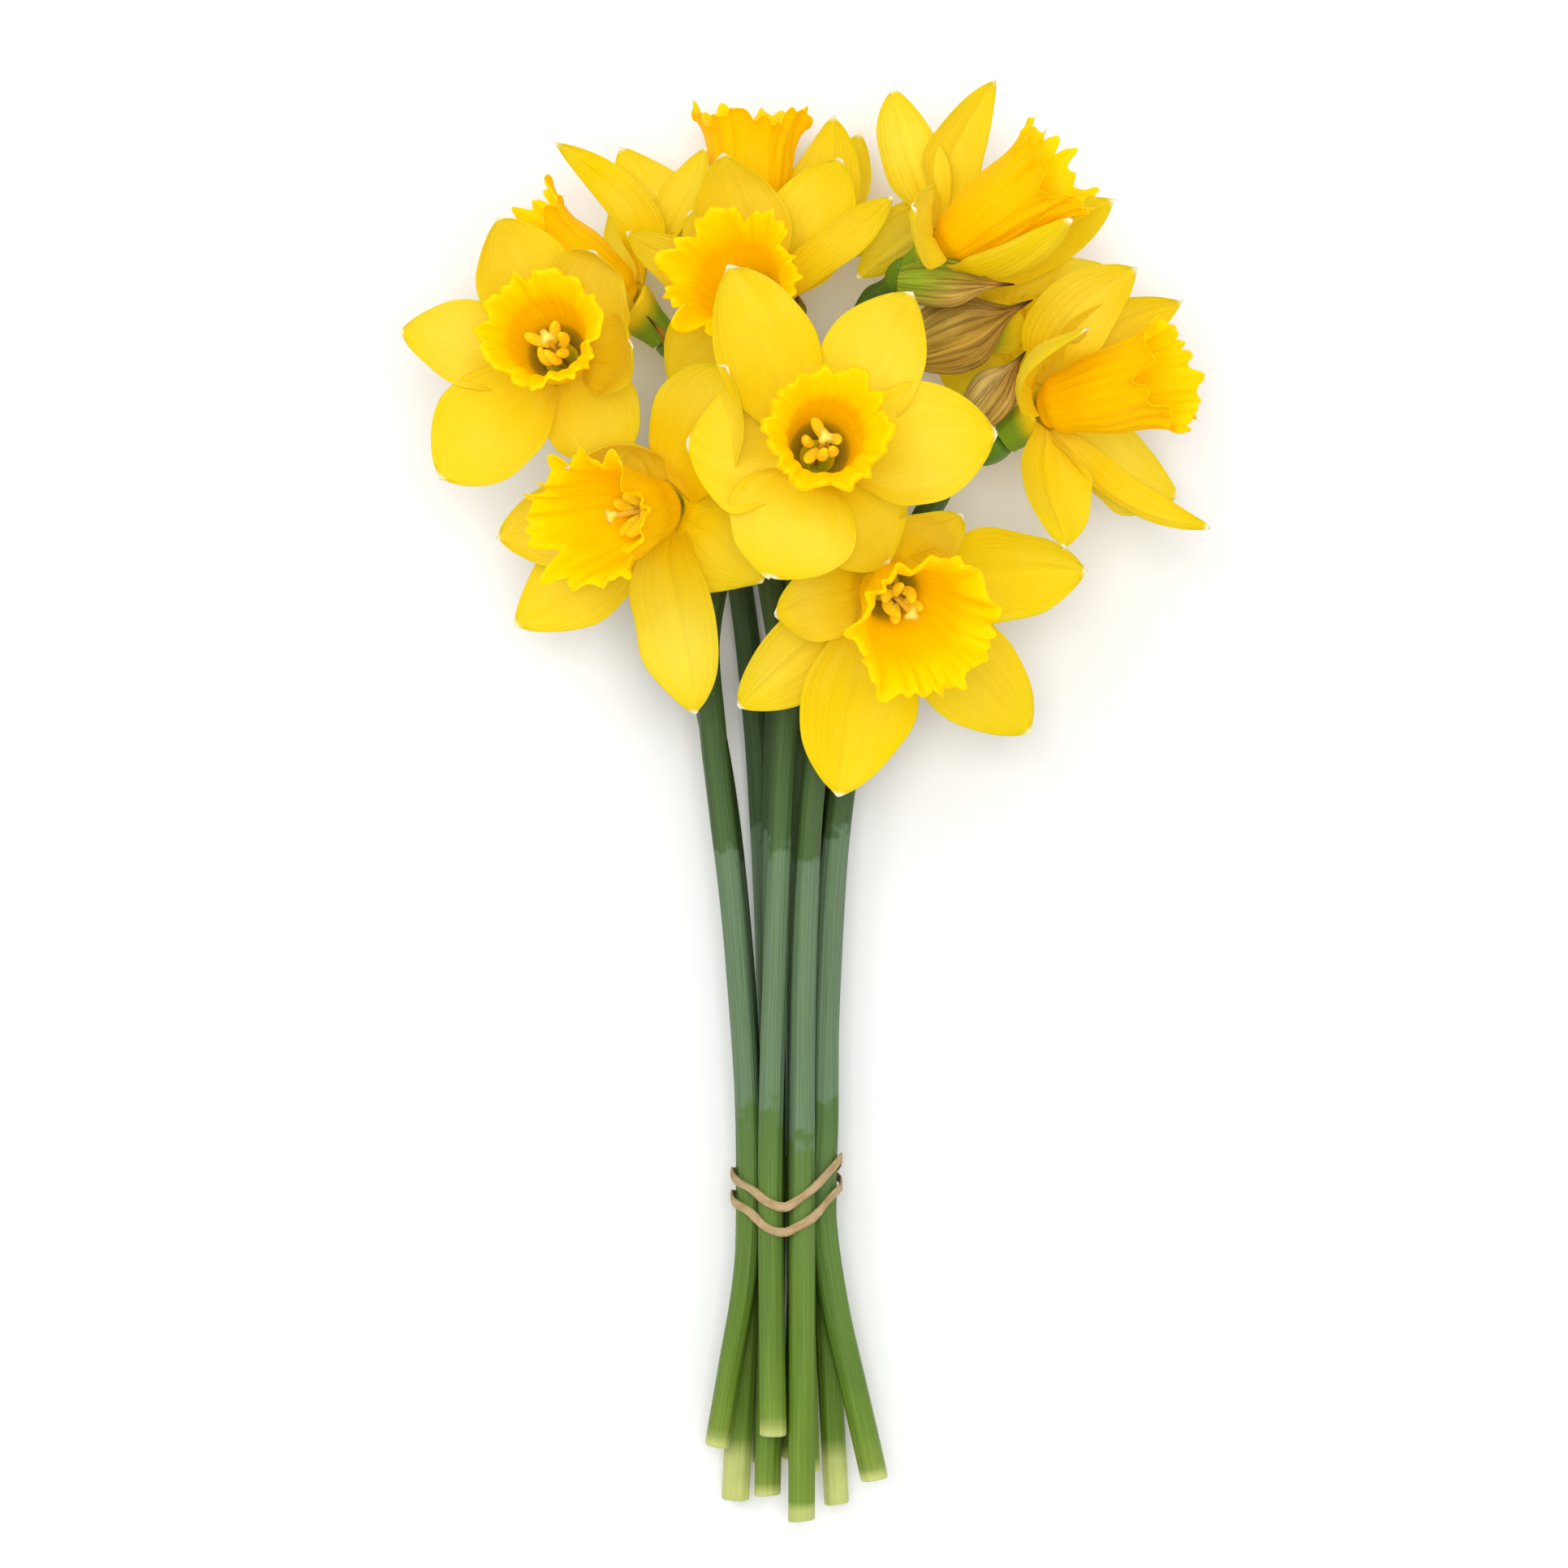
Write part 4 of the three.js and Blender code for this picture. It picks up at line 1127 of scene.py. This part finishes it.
def tie(flowers, materials):
    """The raffia: two turns that lie round the stems and sag towards the cut ends on top, the
    trefoil knot that joins them low on the right, and two loose ends."""
    draw = np.random.default_rng(77)
    low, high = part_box("raffia_tie")
    tie_y = 0.5 * (low[1] + high[1])
    crossing = [through(f.stem[:, 1], f.stem, np.array([tie_y]))[0] for f in flowers]
    middle_x, _, height = np.mean(crossing, axis=0)
    turn = angles_round(360)[0]
    r = turn_radius(turn)
    from_knot = np.arctan2(np.sin(turn - KNOT_TURN), np.cos(turn - KNOT_TURN))
    apart = 1 - np.exp(-((from_knot / KNOT_SPREAD) ** 2))
    dip = TIE_DIP * r * (np.sin(turn) > 0) * (1 - np.abs(np.cos(turn)) ** 1.4)
    out = np.stack([np.cos(turn), 0 * turn, np.sin(turn)], -1)
    skins = []
    for shift, slant, phase in ((3.6, 2.4, 5.4), (-3.6, 1.6, -1.8)):
        y = tie_y - dip + (shift + slant * np.cos(turn)) * apart * MM
        y = y + 0.35 * MM * np.sin(7 * turn + phase)
        path = np.stack([middle_x + r * np.cos(turn), y, height + r * np.sin(turn)], -1)
        turned = strand(path, out, RAFFIA_WIDTH, RAFFIA_WALL, True, draw)
        skins.append(rod(turned, ring=True))
    knot_at = path[np.argmin(np.abs(from_knot))] + np.array([KNOT_OUT, 0, 0]) * MM
    t = angles_round(180)[0]
    across, along = np.sin(t) + 2 * np.sin(2 * t), np.cos(t) - 2 * np.cos(2 * t)
    loop = 0.72 * MM * np.stack([0.55 * across, 0.85 * along, -0.9 * np.sin(3 * t)], -1)
    facing = unit(loop + np.array([0.3, 0.1, 0.2]) * MM)
    skins.append(rod(strand(knot_at + loop, facing, 1.5, 0.9, True, draw), ring=True))
    s = np.linspace(0, 1, 60)[:, None]
    for way in ((0.12, -0.99, 0.0), (0.2, 0.98, 0.0)):
        end = knot_at + np.array(way) * LOOSE_END * MM * s + np.array([0, 0, -1.2 * MM]) * s**2
        end = end + np.array([0.5 * MM, 0, 0]) * np.sin(5 * s)
        facing = np.array([0.8, 0.0, 0.6]) + np.array([0, 0, 0.8]) * np.sin(4 * s)
        narrow = (1 - 0.55 * smooth(0.75, 1.0, s))[:, :, None]
        middle = end[:, None, :]
        skins.append(rod(middle + (strand(end, facing, 2.1, 0.6, False, draw) - middle) * narrow))
    return piece("raffia", "raffia_tie", skins, materials)


# ---------------------------------------------------------------- the scene


def make_camera():
    """A camera straight above the bunch, looking down on it."""
    data = bpy.data.cameras.new("camera")
    data.lens, data.sensor_width = 123.2, 36.0
    data.clip_start, data.clip_end = 0.1, 20.0
    eye = bpy.data.objects.new("camera", data)
    # the view's middle lies a little to the left of the bunch's own, and above it
    eye.location = (-6.69 * MM, 6.03 * MM, 1.5)
    bpy.context.scene.collection.objects.link(eye)
    bpy.context.scene.camera = eye


def make_light(name, place, size, power):
    """A square soft box at a place, turned to the bunch's middle."""
    data = bpy.data.lights.new(name, "AREA")
    data.size, data.energy = size, power
    lamp = bpy.data.objects.new(name, data)
    lamp.location = place
    direction = Vector((0, 0.05, 0.03)) - Vector(place)
    lamp.rotation_euler = direction.to_track_quat("-Z", "Y").to_euler()
    bpy.context.scene.collection.objects.link(lamp)


def make_room():
    """A pale floor, a white world and three soft boxes."""
    world = bpy.data.worlds.new("studio")
    world.use_nodes = True
    sky = world.node_tree.nodes["Background"].inputs
    sky[0].default_value, sky[1].default_value = (1, 1, 1, 1), 0.62
    bpy.context.scene.world = world
    mesh = bpy.data.meshes.new("floor")
    far = 6.0
    corners = [(-far, -far, 0), (far, -far, 0), (far, far, 0), (-far, far, 0)]
    mesh.from_pydata(corners, [], [(0, 1, 2, 3)])
    floor = bpy.data.objects.new("floor", mesh)
    material = bpy.data.materials.new("floor")
    material.use_nodes = True
    paint = material.node_tree.nodes["Principled BSDF"].inputs
    paint["Base Color"].default_value, paint["Roughness"].default_value = (0.93, 0.93, 0.93, 1), 0.9
    mesh.materials.append(material)
    bpy.context.scene.collection.objects.link(floor)
    make_light("key", (-0.75, 0.75, 1.5), 0.9, 8.0)
    make_light("fill", (0.9, -0.3, 1.3), 1.2, 4.0)
    make_light("over", (0.0, 0.1, 1.9), 0.8, 15.5)
    bpy.context.scene.view_settings.view_transform = "Standard"
    bpy.context.scene.view_settings.look = "None"


def make_bunch():
    """Every flower and the tie, each with its finish."""
    patterns = veins_group(), patches_group()
    flesh, horn = tepal_material(patterns), trumpet_material(patterns)
    skin, paper = stem_material(patterns), spathe_material(patterns)
    thread, powder = filament_material(patterns), pollen_material(patterns)
    straw = raffia_material(patterns)
    flowers = [Flower(name) for name in TEPALS]
    for i, flower in enumerate(flowers):
        name = flower.name
        draw = np.random.default_rng(100 + i)
        # petals of the inner and the outer ring take turns round the flower
        order = np.argsort([shape[0] for shape in TEPALS[name]])
        levels = dict(zip(order.tolist(), [1, -1] * 3))
        skins = [floral_tube(flower)]
        skins += [tepal(flower, shape, levels[k], draw) for k, shape in enumerate(TEPALS[name])]
        piece(f"perianth_{name}", f"tepals_{name}", skins, [flesh])
        piece(f"corona_{name}", f"trumpet_{name}", [trumpet(flower, draw)], [horn])
        skins, kinds = stamens(flower, draw)
        piece(f"anthers_{name}", f"stamens_{name}", skins, [thread, powder], kinds)
        piece(f"stalk_{name}", f"stem_{name}", [stem(flower, draw)], [skin])
        piece(f"sheath_{name}", f"spathe_{name}", [spathe(flower, draw)], [paper])
    tie(flowers, [straw])


make_camera()
make_room()
make_bunch()
